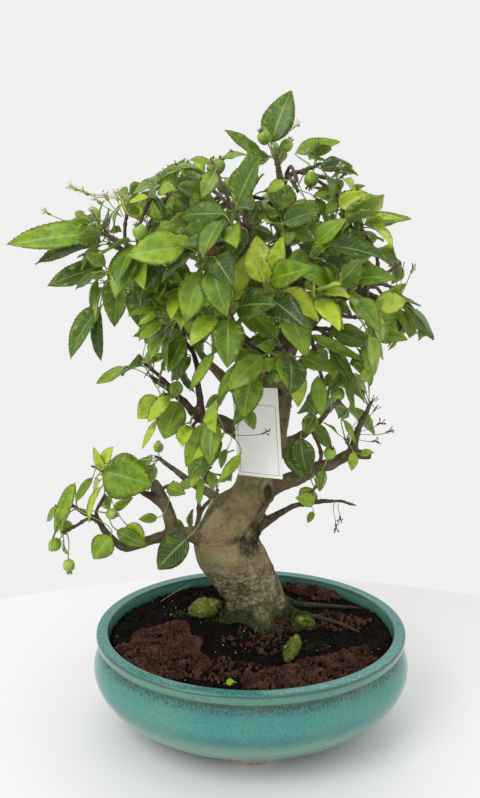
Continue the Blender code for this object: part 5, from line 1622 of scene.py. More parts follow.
leaf_under, tree, shader, place = new_material(
    "leaf_under", 0.55, Specular_IOR_Level=0.3, Subsurface_Weight=0.35, Subsurface_Scale=0.0016,
    Subsurface_Radius=(0.8, 1.0, 0.15),
)
off_rib, vein_wave = blade_pattern(tree)
vein_mask = maths(
    tree, "MAXIMUM", ramp(tree, vein_wave, ((0.0, 0.8), (0.20, 0.0))),
    ramp(tree, off_rib, ((0.0, 1.0), (0.08, 0.0))),
)
under_greens = ramp(
    tree, attribute(tree, "tone"),
    ((0.0, (0.110, 0.190, 0.035)), (0.6, (0.230, 0.340, 0.062)), (1.0, (0.430, 0.540, 0.090))),
)
down = noise_at(tree, place, 160, 4)
under_colour = mix(tree, ramp(tree, down, ((0.35, 0.35), (0.6, 0.0))), under_greens, (0.090, 0.150, 0.050))
under_colour = mix(tree, maths(tree, "MULTIPLY", vein_mask, 0.6), under_colour, (0.420, 0.500, 0.230))
link_in(tree, shader, Base_Color=under_colour)
bump(
    tree, shader,
    maths(tree, "ADD", vein_mask, maths(tree, "MULTIPLY", noise_at(tree, place, 1200, 2), 0.25)), 0.0003, 0.7,
)

stalk_green, tree, shader, place = new_material("green_stalk", 0.5, Specular_IOR_Level=0.4)
stalk_colour = ramp(
    tree, noise_at(tree, place, 55, 3),
    ((0.38, (0.170, 0.260, 0.060)), (0.54, (0.260, 0.340, 0.085)), (0.68, (0.340, 0.230, 0.090))),
)
stalk_colour = mix(
    tree, ramp(tree, noise_at(tree, place, 800, 2), ((0.55, 0.0), (0.68, 0.4))), stalk_colour,
    (0.420, 0.460, 0.200),
)
link_in(tree, shader, Base_Color=stalk_colour)
bump(tree, shader, noise_at(tree, place, 1500, 2), 0.0002, 0.6)


def more_shoots(rng):
    """Short leafy shoots off the thin wood: those on the front, then others spread evenly."""
    woody = []
    for points, radii in (*routes.values(), *twigs.values()):
        woody += [point for point, radius in zip(points[1:], radii[1:]) if radius < 0.0085]
    starts = {
        f"front_{i:02d}": (seen(*shoot[:3]), shoot[3], shoot[4]) for i, shoot in enumerate(FRONT_SHOOTS)
    }
    taken = [spray["start"] for spray in sprays] + [start for start, _, _ in starts.values()]
    for number in range(SHOOT_TRIES):
        way = Vector((rng.gauss(0, 1), rng.gauss(0, 1), rng.gauss(0.4, 1))).normalized()
        place = rng.choice(woody) + way * rng.uniform(*SHOOT_REACH)
        x, z = as_seen(place)
        hidden = any(x0 - 6 < x < x1 + 6 and z0 - 6 < z < z1 + 6 for x0, x1, z0, z1 in OPEN_VIEWS)
        if z > SHOOTS_BELOW or z < SHOOTS_THIN_BELOW and rng.random() < 0.7:
            continue
        if hidden or not inside((x, z), CROWN) or min(
            (place - other).length for other in taken
        ) < SHOOT_APART:
            continue
        taken.append(place)
        starts[f"shoot_{number:04d}"] = (place, rng.choice((4, 5, 6)), rng.uniform(24, 36))
        if len(starts) == len(FRONT_SHOOTS) + NEW_SHOOTS:
            break
    grown_twigs = twig_routes({**routes, **twigs}, {name: start for name, (start, _, _) in starts.items()})
    shoots = []
    for number, (name, (_, count, size)) in enumerate(starts.items(), 1):
        points, radii = grown_twigs[name]
        along = (points[-1] - points[-2]).normalized()
        shoots.append({
            "name": f"shoot_{number:02d}", "start": points[-1] + along * GAP, "axis": along,
            "length": SPUR_LENGTH * 0.8, "radius": TWIG_TIP_RADIUS, "count": count,
            "size": size * MM, "leaves": [], "fruits": [],
        })
    return grown_twigs, shoots


def veils(leaf):
    """Whether a leaf would hide a fruit or the pink bud from the eye."""
    verts, blade, _ = leaf_shape(leaf, BLADE_THICK)
    blade_tree = tree_of(verts, blade)
    for centre, radius in marks:
        way = centre - EYE
        for x, z in ((0, 0), (radius, 0), (-radius, 0), (0, radius), (0, -radius)):
            aim = (way + Vector((x, 0, z))).normalized()
            gap = blade_tree.ray_cast(EYE, aim)[3]
            if gap is not None and gap < way.length - radius:
                return True
    return False


def place_seen(sprays, around, rng):
    """The leaves read off the front view, each from the spray nearest its base."""
    for x0, z0, x1, z1, depth, width, pale in SEEN_LEAVES:
        base, tip = seen(x0, z0, depth), seen(x1, z1, depth - 8)
        spray = nearest_spray(base, sprays)
        for attempt in range(ROUTE_TRIES):
            shift = Vector((0, 0.0015 * ((attempt + 1) // 2) * (-1) ** attempt, 0))
            up = Vector((rng.uniform(-0.35, 0.35), -0.8, 0.6 + rng.uniform(-0.35, 0.35)))
            way = tip - base
            leaf = make_leaf(
                root_place(spray, rng.uniform(0.5, 0.9)), base + shift, way, up, way.length, width * MM, rng,
            )
            leaf["tone"] = pale / 100
            if clear_leaf(leaf, spray["name"], around, True) and not veils(leaf):
                keep_leaf(leaf, spray, around)
                break


def new_leaves(sprays, around, rng):
    """Small leaves between the large ones, where there is room for them."""
    middle = seen(*CROWN_MIDDLE)
    for turn in range(NEW_LEAVES):
        for spray in sprays:
            height = spray["start"].z
            if spray["count"] < 3 or height > NEW_LEAVES_BELOW or (turn and height < NEW_LEAVES_FEW_BELOW):
                continue
            axis = spray["axis"]
            across = axis.orthogonal().normalized()
            other = axis.cross(across)
            outward = (spray["start"] - middle).normalized()
            for attempt in range(NEW_LEAF_TRIES):
                angle = rng.uniform(0, math.tau)
                lean = rng.uniform(0.3, 1.5)
                way = axis * math.cos(lean) + (
                    across * math.cos(angle) + other * math.sin(angle)
                ) * math.sin(lean)
                way = (way + outward * 0.3).normalized()
                root = root_place(spray, rng.uniform(0.5, 0.95))
                base = root + way * rng.uniform(0.007, 0.018)
                forward = way + Vector((0, 0, rng.uniform(-0.6, 0.35)))
                length = rng.uniform(*NEW_LEAF_SIZE) * MM * (1 - 0.015 * attempt)
                width = length * rng.uniform(0.46, 0.64)
                up = Vector((0, 0, 0.5)) + Vector((outward.x, outward.y, 0)) * 0.8
                up += Vector([rng.uniform(-0.45, 0.45) for _ in range(3)])
                leaf = make_leaf(root, base, forward, up, length, width, rng)
                if clear_leaf(leaf, spray["name"], around, False) and not veils(leaf):
                    keep_leaf(leaf, spray, around)
                    break


marks = [
    (fruit["centre"], fruit["radius"]) for spray in sprays for fruit in spray["fruits"] if fruit["centre"].y < STAND.y
]
marks.append((seen(-73, 444, -6), 0.006))
new_twigs, shoots = more_shoots(rng)
for points, radii in new_twigs.values():
    around.add_fixed("wood", *plain_tube(points, radii, 0.0004))
for shoot in shoots:
    around.add_fixed(shoot["name"], *loft(core_rings(shoot)))
place_seen(sprays + shoots, around, rng)
place_leaves(shoots, around, rng)
for shoot in shoots:
    shoot["leaves"] = [leaf for leaf in shoot["leaves"] if "tone" in leaf or not veils(leaf)]
new_leaves(sprays + shoots, around, rng)
shapes = [knobbly(points, radii, 5, 7, number) for number, (points, radii) in enumerate(new_twigs.values())]
shoot_twigs = grown("shoot_twigs", *gather(shapes)[:2], [twig_bark])
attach(shoot_twigs, "root")


def leaf_tone(leaf, large, rng):
    """How pale a leaf is, from 0 for an old dark one to 1 for a new yellow-green one, and lower near the crown's
    middle as painted shade.
    """
    x, z = as_seen(leaf["base"])
    near_young = any(math.hypot(x - a, z - b) < reach for a, b, reach in YOUNG_PLACES)
    if near_young and leaf["base"].y < STAND.y and leaf["length"] < 0.042:
        return rng.uniform(0.80, 1.0)
    if "tone" in leaf:
        return min(1.0, max(0.0, leaf["tone"] + rng.uniform(-0.06, 0.06)))
    # Leaves near the crown's middle get darker tones: painted shade inside the crown.
    inner = (leaf["base"] - seen(5, 430, 15)).length
    chance = rng.random() * (0.95 if large else 1.0) + (-0.04 if large else 0.12) + (0.10 if inner > 0.10 else -0.12)
    return rng.uniform(
        *((0.02, 0.22) if chance < 0.20 else (0.24, 0.52) if chance < 0.66
          else (0.52, 0.70) if chance < 0.97 else (0.72, 0.92))
    )


def lay_blade(piece, coordinates):
    """The leaf coordinates of each point, as a UV map."""
    layer = piece.data.uv_layers.new(name="blade")
    flat = []
    for loop in piece.data.loops:
        flat.extend(coordinates[loop.vertex_index])
    layer.data.foreach_set("uv", flat)


def leafy_spray(spray, rng):
    """One spray's spur, stalks and blades as one piece."""
    verts, faces, kinds, tones, coordinates = [], [], [], [], []

    def join(body, kind, tone, uv=None):
        points, corners = body
        faces.extend(tuple(len(verts) + i for i in corner) for corner in corners)
        kinds.extend(kind if isinstance(kind, list) else [kind] * len(corners))
        tones.extend([tone] * len(points))
        coordinates.extend(uv or [(0.5, 0.5)] * len(points))
        verts.extend(points)

    join(spur_shape(spray, rng), 3, 0.5)
    for leaf in spray["leaves"]:
        large = leaf["length"] > 0.028
        tone = leaf_tone(leaf, large, rng)
        leave = ((leaf["base"] - leaf["root"]).normalized() + spray["axis"] * 0.4).normalized()
        end = leaf["base"] + leaf["forward"] * 0.0006 - leaf["normal"] * 0.0004
        join(stalk_tube(leaf["root"], end, leave, leaf["forward"], 0.00062 if large else 0.00045), 2, tone)
        points, corners, sides_of, uv = fine_leaf(leaf, rng, LEAF_STATIONS if large else SMALL_STATIONS)
        join((points, corners), sides_of, tone, uv)
    piece = grown(
        "leaf_" + spray["name"], verts, faces, [leaf_top, leaf_under, stalk_green, twig_bark], kinds,
    )
    point_values(piece, "tone", tones)
    lay_blade(piece, coordinates)
    return piece


for spray in sprays + shoots:
    if not spray["leaves"]:
        continue
    piece = leafy_spray(spray, rng)
    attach(piece, "root")
    if spray in sprays:
        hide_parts(spray["name"])

# Crabapples: small hard green fruits on curved stalks, each with the dried brown calyx of its
# flower at the far end. All are copies of one fruit.

FRUIT_FORM = (
    (0.07, 0.76), (0.17, 0.87), (0.34, 0.95), (0.56, 0.91), (0.78, 0.73), (0.94, 0.42), (1.01, 0.06), (0.98, -0.30),
    (0.86, -0.62), (0.66, -0.84), (0.44, -0.94), (0.28, -0.95), (0.19, -0.86), (0.09, -0.80),
)
FRUIT_ROUND = 20
SEPALS = 5

fruit_green, tree, shader, place = new_material("fruit_skin", 0.32, Specular_IOR_Level=0.42)
blush = noise_at(tree, place, 75, 3)
fruit_colour = ramp(
    tree, blush,
    ((0.34, (0.130, 0.250, 0.020)), (0.52, (0.240, 0.390, 0.045)), (0.70, (0.400, 0.500, 0.090))),
)
dots = ramp(
    tree, add(tree, "ShaderNodeTexVoronoi", {"Vector": place, "Scale": 620}).outputs["Distance"],
    ((0.10, 0.6), (0.20, 0.0)),
)
link_in(tree, shader, Base_Color=mix(tree, dots, fruit_colour, (0.520, 0.580, 0.230)))
bump(tree, shader, noise_at(tree, place, 500, 3), 0.0002, 0.4)
dry_brown, tree, shader, place = new_material("dry_sepals", 0.8)
tint(
    tree, shader, place, 400, 3,
    (0.36, (0.045, 0.022, 0.013)), (0.54, (0.150, 0.080, 0.042)), (0.70, (0.330, 0.220, 0.130)),
)
bump(tree, shader, noise_at(tree, place, 1400, 3), 0.0003, 0.8)


def turned_to(up):
    """A turn that takes +Z to this direction."""
    return Vector((0, 0, 1)).rotation_difference(up).to_matrix()


def one_fruit():
    """Unit fruit, its stalk end up: skin body, and the sepals and threads of its calyx."""
    rings = []
    for across, height in FRUIT_FORM:
        turns = [math.tau * k / FRUIT_ROUND for k in range(FRUIT_ROUND)]
        rings.append([Vector((across * math.cos(turn), across * math.sin(turn), height)) for turn in turns])
    calyx = []
    for k in range(SEPALS):
        turn = math.tau * k / SEPALS
        out = Vector((math.cos(turn), math.sin(turn), 0))
        down = Vector((0, 0, -1))
        calyx.append(tube(
            [
                out * 0.18 - Vector((0, 0, 0.86)), out * 0.26 + down * 1.06, out * 0.40 + down * 1.22,
                out * 0.56 + down * 1.26,
            ],
            [0.10, 0.11, 0.08, 0.015], 5,
        ))
        thread = out * 0.10 + down * 0.85
        calyx.append(
            tube(
                [thread, thread + out * 0.05 + down * 0.3, thread + out * 0.16 + down * 0.62],
                [0.028, 0.022, 0.03], 4,
            )
        )
    return loft(rings), gather(calyx)[:2]


def set_down(body, turn, size, place):
    """A copy of a body, turned, sized and moved."""
    points, corners = body
    return [place + turn @ point * size for point in points], corners


fruit_body, fruit_calyx = one_fruit()
bodies, kinds = [], []
for spray in sprays:
    for fruit in spray["fruits"]:
        spin = Matrix.Rotation(rng.uniform(0, math.tau), 3, "Z")
        turn = turned_to(fruit["up"]) @ spin
        top = fruit["centre"] + fruit["up"] * fruit["radius"] * 0.80
        bow = spray["axis"] * 0.5 + fruit["up"]
        for body, kind in (
            (set_down(fruit_body, turn, fruit["radius"], fruit["centre"]), 0),
            (set_down(fruit_calyx, turn, fruit["radius"] * rng.uniform(0.9, 1.15), fruit["centre"]), 1),
            (stalk_tube(top, fruit["root"], fruit["up"], bow.normalized(), 0.00065, 6, 8), 2),
        ):
            bodies.append(body)
            kinds += [kind] * len(body[1])
crabapples = grown("crabapples", *gather(bodies)[:2], [fruit_green, dry_brown, stalk_green], kinds)
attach(crabapples, "root")

# Spent flowers: young fruitlets and withered flower heads on long stalks, left on the spurs
# after the petals fell. Their threads are cream on the new ones and brown on the old.

# Foot and head as seen, depth, head size and how dry: 0 green fruitlet, 1 cream, 2 brown.
SPENT_FLOWERS = (
    (-120, 518, -161, 542, -6, 2.6, 1), (-120, 518, -151, 538, -4, 2.4, 1), (-121, 518, -140, 530, -36, 2.3, 1),
    (-121, 518, -133, 533, -34, 2.3, 1), (-119, 518, -124, 533, -38, 2.4, 1), (-117, 518, -116, 529, -34, 2.2, 1),
    (-132, 511, -187, 520, -16, 1.8, 1), (-134, 510, -146, 520, -12, 1.5, 1), (-55, 534, -64, 560, -20, 2.6, 0),
    (-55, 534, -71, 557, -16, 2.5, 0), (-55, 534, -76, 554, -22, 2.4, 0), (62, 542, 77, 557, -14, 2.4, 1),
    (64, 544, 81, 553, -10, 2.2, 0), (127, 441, 150, 467, -8, 2.0, 0), (127, 441, 136, 475, -6, 0.9, 2),
    (127, 441, 143, 477, -10, 0.9, 2), (126, 441, 123, 471, -4, 0.9, 2), (99, 304, 133, 311, -2, 1.9, 0),
    (99, 312, 117, 340, -4, 1.5, 2), (99, 314, 120, 333, 0, 1.4, 2), (98, 308, 124, 319, -6, 1.5, 2),
    (99, 301, 120, 302, -2, 1.6, 2), (-19, 302, 11, 310, -52, 1.2, 2), (88, 237, 90, 223, 2, 1.6, 2),
    (84, 238, 86, 215, 4, 1.7, 2), (28, 588, 37, 596, 8, 1.4, 1),
)

cream_threads, tree, shader, place = new_material("cream_threads", 0.7)
tint(
    tree, shader, place, 350, 2,
    (0.36, (0.330, 0.230, 0.110)), (0.54, (0.640, 0.560, 0.360)), (0.68, (0.780, 0.740, 0.600)),
)
bump(tree, shader, noise_at(tree, place, 1500, 2), 0.0002, 0.6)
bodies, kinds = [], []
for x0, z0, x1, z1, depth, size, dry in SPENT_FLOWERS:
    tip = seen(x1, z1, depth)
    foot = seen(x0, z0, depth + 6)
    spray = nearest_spray(foot, sprays + shoots)
    if (root_place(spray, 0.7) - foot).length < 0.02:
        foot = root_place(spray, 0.7)
    up = ((tip - foot).normalized() + Vector((0, 0, 0.25))).normalized()
    stem = stalk_tube(
        foot, tip, (spray["axis"] + up * 1.5).normalized(), up, 0.00042 if dry < 2 else 0.00034, 5, 8,
    )
    turn = turned_to(-up) @ Matrix.Rotation(rng.uniform(0, math.tau), 3, "Z")
    head = [(stem, 2 if dry < 2 else 1)]
    if size > 1:
        head.append(
            (
                set_down(
                    fruit_body, turn @ Matrix.Diagonal((0.72, 0.72, 1.1)), size * MM,
                    tip + up * size * MM * 0.7,
                ),
                0 if dry < 2 else 1,
            )
        )
        head.append((set_down(fruit_calyx, turn, size * MM * 1.05, tip + up * size * MM * 0.9), 1))
        threads = []
        for _ in range(18 if dry == 1 else 7):
            way = (up + Vector([rng.uniform(-0.75, 0.75) for _ in range(3)])).normalized()
            start = tip + up * size * MM * 1.5
            end = start + way * rng.uniform(0.0030, 0.0075)
            middle = start.lerp(end, 0.5) + Vector([rng.uniform(-0.0007, 0.0007) for _ in range(3)])
            threads.append(tube([start, middle, end], [0.00032, 0.00028, 0.00062], 4))
        head.append((gather(threads)[:2], 3 if dry == 1 else 1))
    for body, kind in head:
        bodies.append(body)
        kinds += [kind] * len(body[1])
spent = grown(
    "spent_flowers", *gather(bodies)[:2], [fruit_green, dry_brown, stalk_green, cream_threads], kinds,
)
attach(spent, "root")

dead_skin, tree, shader, place = new_material("dead_leaf", 0.75)
tint(
    tree, shader, place, 150, 4,
    (0.35, (0.200, 0.060, 0.014)), (0.55, (0.420, 0.150, 0.030)), (0.70, (0.520, 0.240, 0.060)),
)
bump(tree, shader, noise_at(tree, place, 700, 3), 0.0004, 0.9)
start, tip = seen(-42, 494, -70), seen(-35, 466, -76)
dead = make_leaf(
    start + Vector((0, 0.004, 0.008)), start, tip - start, Vector((0.4, -1, 0.3)), (tip - start).length,
    0.011, rng,
)
dead["arch"], dead["fold"] = 1.1, 0.5
dead_leaf = grown("dead_leaf", *fine_leaf(dead, rng, SMALL_STATIONS)[:2], [dead_skin])
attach(dead_leaf, "root")

# Pink flower bud: the last one, on an upright twig at the left. Deep pink crumpled petals stand
# in a green cup.

BUD_PETALS = 9

pink_petal, tree, shader, place = new_material(
    "pink_petals", 0.5, Subsurface_Weight=0.2, Subsurface_Scale=0.001,
)
tint(
    tree, shader, place, 260, 3,
    (0.36, (0.480, 0.020, 0.060)), (0.55, (0.780, 0.075, 0.150)), (0.70, (0.900, 0.420, 0.450)),
)
bump(tree, shader, noise_at(tree, place, 1100, 3), 0.0003, 0.8)
bud_points, _ = routes["bud_twig"]
bud_way = (bud_points[-1] - bud_points[-2]).normalized()
bud_foot = bud_points[-1] + bud_way * GAP
across = bud_way.orthogonal().normalized()
bodies, kinds = [], []
cup = tube(
    [bud_foot - bud_way * 0.001 + bud_way * h * MM for h in (0, 2, 4, 6.5)], [0.0013, 0.0016, 0.0028, 0.0030],
    10,
)
bodies.append(cup)
kinds += [1] * len(cup[1])
for i in range(BUD_PETALS):
    spin = Matrix.Rotation(i * 2.4 + rng.uniform(-0.3, 0.3), 3, bud_way)
    out = spin @ across
    inner = i / BUD_PETALS
    lean = 0.75 - 0.62 * inner
    forward = (bud_way + out * lean).normalized()
    petal = make_leaf(
        bud_foot, bud_foot + bud_way * 0.0040 + out * 0.0012, forward, bud_way - out, 0.0105 + 0.002 * inner,
        0.0075, rng,
    )
    petal["arch"], petal["fold"], petal["wave"] = rng.uniform(-0.9, 0.9) or 0.5, rng.uniform(0.3, 0.7), 0.09
    body = fine_leaf(petal, rng, 10)[:2]
    bodies.append(body)
    kinds += [0] * len(body[1])
pink_bud = grown("pink_flower_bud", *gather(bodies)[:2], [pink_petal, stalk_green], kinds)
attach(pink_bud, "root")
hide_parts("pink_bud")

# Plant label: a white card punched at its top, with a plain printed frame line. A thin green
# plastic tie runs through the hole and over the branch above.

TAG_CENTRE = (5.9, 311, -20)
TAG_WIDTH = 0.050
TAG_HEIGHT = 0.088
TAG_THICK = 0.0009
TAG_LEAN = math.radians(4.6)
TAG_TURN = math.radians(32)
TAG_HOLE_RADIUS = 0.0028
TAG_HOLE_DROP = 0.0058
TIE_RADIUS = 0.0006
TIE_CLEAR = 0.0016
LINE_INSET = 0.0032
LINE_TOP = 0.017
LINE_WIDTH = 0.00034


def tag_frame():
    """The label's middle and turn: it leans to the left, with its right edge nearer."""
    turn = Matrix.Rotation(-TAG_TURN, 3, "Z") @ Matrix.Rotation(-TAG_LEAN, 3, "Y")
    return seen(*TAG_CENTRE), turn


def tag_hole():
    centre, turn = tag_frame()
    return centre + turn @ Vector((0, 0, TAG_HEIGHT / 2 - TAG_HOLE_DROP))


def flat_piece(name, outlines, thick, forward, material):
    """A flat sheet with holes on the label's plane, this far in front of its middle."""
    curve = bpy.data.curves.new(name, "CURVE")
    curve.dimensions, curve.fill_mode, curve.extrude = "2D", "BOTH", thick / 2
    for outline in outlines:
        spline = curve.splines.new("POLY")
        spline.points.add(len(outline) - 1)
        spline.use_cyclic_u = True
        for knot, (x, y) in zip(spline.points, outline):
            knot.co = (x, y, 0, 1)
    sheet = bpy.data.objects.new(name, curve)
    bpy.context.scene.collection.objects.link(sheet)
    centre, turn = tag_frame()
    sheet.location = centre + turn @ Vector((0, -forward, 0))
    sheet.rotation_euler = (turn @ Matrix.Rotation(math.pi / 2, 3, "X")).to_euler()
    deselect()
    sheet.select_set(True)
    bpy.context.view_layer.objects.active = sheet
    bpy.ops.object.convert(target="MESH")
    bpy.ops.object.mode_set(mode="EDIT")
    bpy.ops.mesh.select_all(action="SELECT")
    bpy.ops.mesh.remove_doubles(threshold=0.00001)
    bpy.ops.mesh.normals_make_consistent(inside=False)
    bpy.ops.object.mode_set(mode="OBJECT")
    settle(sheet)
    sheet.data.materials.append(material)
    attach(sheet, "root")
    return sheet


def rounded_box(left, right, low, high, radius):
    """Corner points of a rectangle with rounded corners."""
    outline = []
    for x, y, quarter in (
        (right - radius, high - radius, 0), (left + radius, high - radius, 1),
        (left + radius, low + radius, 2), (right - radius, low + radius, 3),
    ):
        for step in range(6):
            angle = math.pi / 2 * (quarter + step / 5)
            outline.append((x + radius * math.cos(angle), y + radius * math.sin(angle)))
    return outline


white_card, tree, shader, place = new_material("white_card", 0.38, Specular_IOR_Level=0.4)
tint(tree, shader, place, 45, 3, (0.35, (0.885, 0.885, 0.865)), (0.65, (0.935, 0.935, 0.920)))
bump(tree, shader, noise_at(tree, place, 1600, 2), 0.00004, 0.5)
grey_ink, tree, shader, place = new_material("grey_ink", 0.6)
tint(tree, shader, place, 900, 2, (0.3, (0.075, 0.080, 0.080)), (0.7, (0.130, 0.135, 0.135)))
wide, high = TAG_WIDTH / 2, TAG_HEIGHT / 2
punched = [
    (
        TAG_HOLE_RADIUS * math.cos(-math.tau * i / 32),
        high - TAG_HOLE_DROP + TAG_HOLE_RADIUS * math.sin(-math.tau * i / 32),
    )
    for i in range(32)
]
card = flat_piece(
    "label_card", [rounded_box(-wide, wide, -high, high, 0.0012), punched], TAG_THICK, 0, white_card,
)
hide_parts("label_tag")
left, right, low, top = LINE_INSET - wide, wide - LINE_INSET, LINE_INSET - high, high - LINE_TOP
flat_piece("label_frame_line", [
    rounded_box(left, right, low, top, 0.0001),
    rounded_box(left + LINE_WIDTH, right - LINE_WIDTH, low + LINE_WIDTH, top - LINE_WIDTH, 0.0001)[::-1],
], 0.00006, TAG_THICK / 2 + 0.00003, grey_ink)


def tie_points(routes):
    """A closed loop through the label's hole and over the branch above it."""
    points, radii = routes["front_mid"]
    start, end = points[0], points[1]
    hole = tag_hole()
    share = 0.80
    over = start.lerp(end, share)
    thick = radii[0] + (radii[1] - radii[0]) * share
    along = (end - start).normalized()
    upward = (over - hole)
    upward = (upward - along * upward.dot(along)).normalized()
    side = along.cross(upward)
    reach = thick * 1.08 + TIE_RADIUS + GAP
    loop = []
    for i in range(9):
        angle = math.pi * i / 8
        loop.append(over + side * reach * math.cos(angle) + upward * reach * math.sin(angle))
    _, turn = tag_frame()
    card_up = turn @ Vector((0, 0, 1))
    ahead = turn @ Vector((0, -TIE_CLEAR, 0))
    low = hole + card_up * (TAG_HOLE_RADIUS - TIE_RADIUS - GAP)
    if (loop[-1] - loop[0]).dot(ahead) < 0:
        loop.reverse()
    above = hole + card_up * 0.0085
    return [*loop, above + ahead, low + ahead, low, low - ahead, above - ahead]


tie_plastic, tree, shader, place = new_material("green_plastic_tie", 0.35)
tint(tree, shader, place, 120, 3, (0.3, (0.018, 0.085, 0.035)), (0.7, (0.030, 0.120, 0.050)))
bump(tree, shader, noise_at(tree, place, 1300, 2), 0.0001, 0.5)
knots = tie_points(routes)
ring = smoothed([knots[-1], *knots, knots[0], knots[1]], 4)[4:-4]
rings, side = [], (ring[1] - ring[0]).orthogonal().normalized()
for i in range(len(ring) - 1):
    along = (ring[(i + 1) % (len(ring) - 1)] - ring[i - 1 if i else -2]).normalized()
    side = (side - along * side.dot(along)).normalized()
    other = along.cross(side)
    turns = [math.tau * k / 10 for k in range(10)]
    rings.append([ring[i] + (side * math.cos(turn) + other * math.sin(turn)) * TIE_RADIUS for turn in turns])
verts = [point for loop in rings for point in loop]
faces = []
for i in range(len(rings)):
    near, far = i * 10, (i + 1) % len(rings) * 10
    faces += [(near + k, near + (k + 1) % 10, far + (k + 1) % 10, far + k) for k in range(10)]
tie = grown("label_tie", verts, faces, [tie_plastic])
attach(tie, "root")
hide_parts("tag_tie")

# Moss: knobs of old root on the soil under a skin of short moss, a green collar of it round
# the trunk's foot, and a fallen round leaf and a dry grass blade beside them.

# Knobs as x, y, half sizes and height in millimetres, a turn, and how pale their moss is.
MOSS_KNOBS = (
    ("moss_knob_back", -49, 38, 17, 12, 15, 10, 0.50, 0.98),
    ("moss_knob_right", 56, 9, 11, 9, 10, 0, 0.20, 0.88),
    ("moss_knob_front", 41, -38, 6.5, 22, 8, -16, 0.40, 0.80),
)
BRIGHT_MOSS = (16, 118, 11, 22)
KNOB_SHOOTS = 1900
COLLAR_SHOOTS = 5200
MOSS_PATCHES = (
    (-74, 34, 20, 8, 150), (18, -6, 14, 18, 210), (-30, 20, 22, 8, 90), (46, 4, 24, 10, 110),
    (60, -30, 20, 10, 60),
)

moss_skin, tree, shader, place = new_material("moss", 0.85, Specular_IOR_Level=0.2)
tone = attribute(tree, "tone")
moss_tone = maths(
    tree, "ADD", tone,
    maths(tree, "MULTIPLY", maths(tree, "SUBTRACT", noise_at(tree, place, 240, 3), 0.5), 0.8),
)
link_in(tree, shader, Base_Color=ramp(tree, moss_tone, (
    (0.05, (0.010, 0.012, 0.004)), (0.28, (0.028, 0.048, 0.008)), (0.50, (0.075, 0.130, 0.014)),
    (0.70, (0.200, 0.220, 0.040)), (0.86, (0.360, 0.330, 0.110)), (1.0, (0.640, 0.580, 0.400)),
)))
bump(tree, shader, noise_at(tree, place, 900, 3), 0.0006, 0.9)


def moss_shoots(name, spots, rng):
    """Very short pointed shoots, one at each spot. A spot is its place, direction and tone."""
    verts, faces, tones = [], [], []
    for place, way, tone in spots:
        way = (way + Vector([rng.uniform(-0.6, 0.6) for _ in range(3)])).normalized()
        side = way.orthogonal().normalized()
        other = way.cross(side)
        size = rng.uniform(0.00022, 0.00045)
        foot = place - way * 0.0006
        start = len(verts)
        verts += [foot + (side * math.cos(turn) + other * math.sin(turn)) * size for turn in (0, 2.09, 4.19)]
        verts.append(place + way * rng.uniform(0.0009, 0.0026))
        faces += [
            (start + 2, start + 1, start), (start, start + 1, start + 3), (start + 1, start + 2, start + 3),
            (start + 2, start, start + 3),
        ]
        tones += [tone] * 4
    piece = grown(name, verts, faces, [moss_skin], smooth=False)
    point_values(piece, "tone", tones)
    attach(piece, "root")


for name, x, y, half_x, half_y, height, turn, dark_end, pale_end in MOSS_KNOBS:
    deselect()
    bpy.ops.mesh.primitive_ico_sphere_add(subdivisions=5, radius=1)
    knob = bpy.context.active_object
    knob.name = "mossy_" + name[5:]
    angle = math.radians(turn)
    tones = []
    for vert in knob.data.vertices:
        point = vert.co.copy()
        lump = (
            1 + 0.17 * noise.noise(point * 1.6 + Vector((x, y, 0)))
            + 0.10 * noise.noise(point * 4.4) + 0.06 * noise.noise(point * 11)
        )
        along, over = point.x * half_x * lump, point.y * half_y * lump
        rise = 0.30 + 0.70 * point.z * lump
        vert.co = STAND + MM * Vector((
            x + along * math.cos(angle) - over * math.sin(angle),
            y + along * math.sin(angle) + over * math.cos(angle), 0,
        ))
        vert.co.z = soil_level(vert.co.x, vert.co.y) + height * MM * max(-0.15, rise)
        tones.append((dark_end + pale_end) / 2 - 0.25 + 0.3 * point.z)
    knob.select_set(True)
    bpy.ops.object.shade_smooth()
    point_values(knob, "tone", tones)
    knob.data.materials.append(moss_skin)
    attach(knob, "root")
    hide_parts(name)
    spots = []
    for vert in rng.sample(list(knob.data.vertices), KNOB_SHOOTS):
        if vert.normal.z > -0.1:
            patch = 0.5 + 0.9 * noise.noise(vert.co * 190)
            tone = dark_end + (pale_end - dark_end) * min(1.0, max(0.0, patch)) + rng.uniform(-0.1, 0.1)
            spots.append((vert.co.copy(), vert.normal.copy(), tone))
    moss_shoots(knob.name + "_shoots", spots, rng)

spots = []
for vert in wood.data.vertices:
    flat = Vector((vert.co.x, vert.co.y, 0))
    if vert.co.z < 0.132 and vert.co.z > 0.096 and (flat - TRUNK_FOOT).length < 0.060:
        x, z = as_seen(vert.co)
        bright = math.hypot((x - BRIGHT_MOSS[0]) / BRIGHT_MOSS[2], (z - BRIGHT_MOSS[1]) / BRIGHT_MOSS[3]) < 1
        chance = 1.0 if bright and z < 130 else max(
            0.0, (0.120 + 0.012 * noise.noise(vert.co * 60) - vert.co.z) / 0.012,
        )
        if rng.random() < chance:
            spots.append(
                (
                    vert.co.copy(), vert.normal.copy(),
                    rng.uniform(0.40, 0.72) if bright else rng.uniform(0.05, 0.55),
                )
            )
moss_shoots("moss_collar", rng.sample(spots, min(len(spots), COLLAR_SHOOTS)), rng)
spots = []
for x, y, half_x, half_y, count in MOSS_PATCHES:
    for _ in range(count):
        angle, share = rng.uniform(0, math.tau), rng.random() ** 0.6
        place = STAND + MM * Vector(
            (x + half_x * share * math.cos(angle), y + half_y * share * math.sin(angle), 0)
        )
        place.z = soil_level(place.x, place.y) + 0.0012
        spots.append((place, Vector((0, 0, 1)), rng.uniform(0.10, 0.62)))
moss_shoots("moss_on_soil", spots, rng)


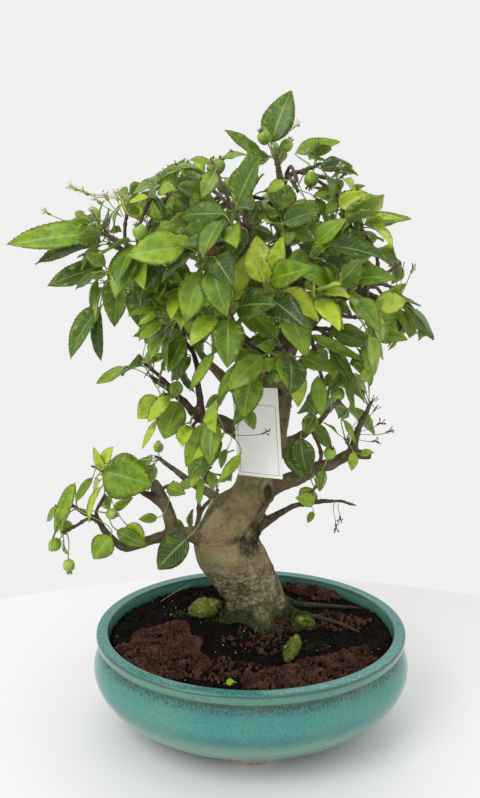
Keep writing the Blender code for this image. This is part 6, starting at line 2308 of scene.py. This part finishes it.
def on_soil(x, z, lift):
    """Where the line of sight through a seen place meets the soil."""
    way = seen(x, z, 0) - EYE
    place = EYE + way * ((0.0965 - EYE.z) / way.z)
    return Vector((place.x, place.y, soil_level(place.x, place.y) + lift))


dry_grass, tree, shader, place = new_material("dry_grass", 0.6)
tint(tree, shader, place, 90, 2, (0.35, (0.230, 0.210, 0.150)), (0.65, (0.420, 0.400, 0.310)))
bump(tree, shader, noise_at(tree, place, 1300, 2), 0.0002, 0.6)
strands = []
for path, thick in (
    ((((-94, 131, 0.0008), (-84, 134, 0.004), (-73, 139, 0.006), (-63, 145, 0.005))), 0.0005),
    ((((4, 92, 0.001), (7, 96, 0.003), (9, 101, 0.003), (13, 105, 0.001))), 0.0003),
):
    points = smoothed([on_soil(*knot) for knot in path], 5)
    strands.append(
        tube(points, [thick * (1 - 0.5 * abs(2 * i / (len(points) - 1) - 1)) for i in range(len(points))], 6)
    )
blades = grown("dry_grass_blades", *gather(strands)[:2], [dry_grass])
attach(blades, "root")

low_corner, high_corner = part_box("sprout_leaf")
sprout_at = (low_corner + high_corner) / 2
round_leaf = make_leaf(
    sprout_at + Vector((-0.0075, 0, -0.001)), sprout_at + Vector((-0.0052, 0.0006, 0.0004)), Vector((1, 0.15, 0.05)),
    Vector((0, -0.3, 1)), 0.0108, 0.0092, rng,
)
round_leaf["arch"], round_leaf["fold"], round_leaf["wave"] = 0.5, 0.2, 0.02
points, corners, sides_of, uv = fine_leaf(round_leaf, rng, SMALL_STATIONS)
stem = stalk_tube(
    round_leaf["root"], round_leaf["base"], Vector((1, 0, 0.6)).normalized(), round_leaf["forward"], 0.0003,
)
verts, faces, _ = gather([(points, corners), stem])
sprout = grown(
    "fallen_round_leaf", verts, faces, [leaf_top, leaf_under, stalk_green], sides_of + [2] * len(stem[1]),
)
point_values(sprout, "tone", [0.8] * len(verts))
lay_blade(sprout, uv + [(0.5, 0.5)] * len(stem[0]))
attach(sprout, "root")
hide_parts("sprout_leaf")
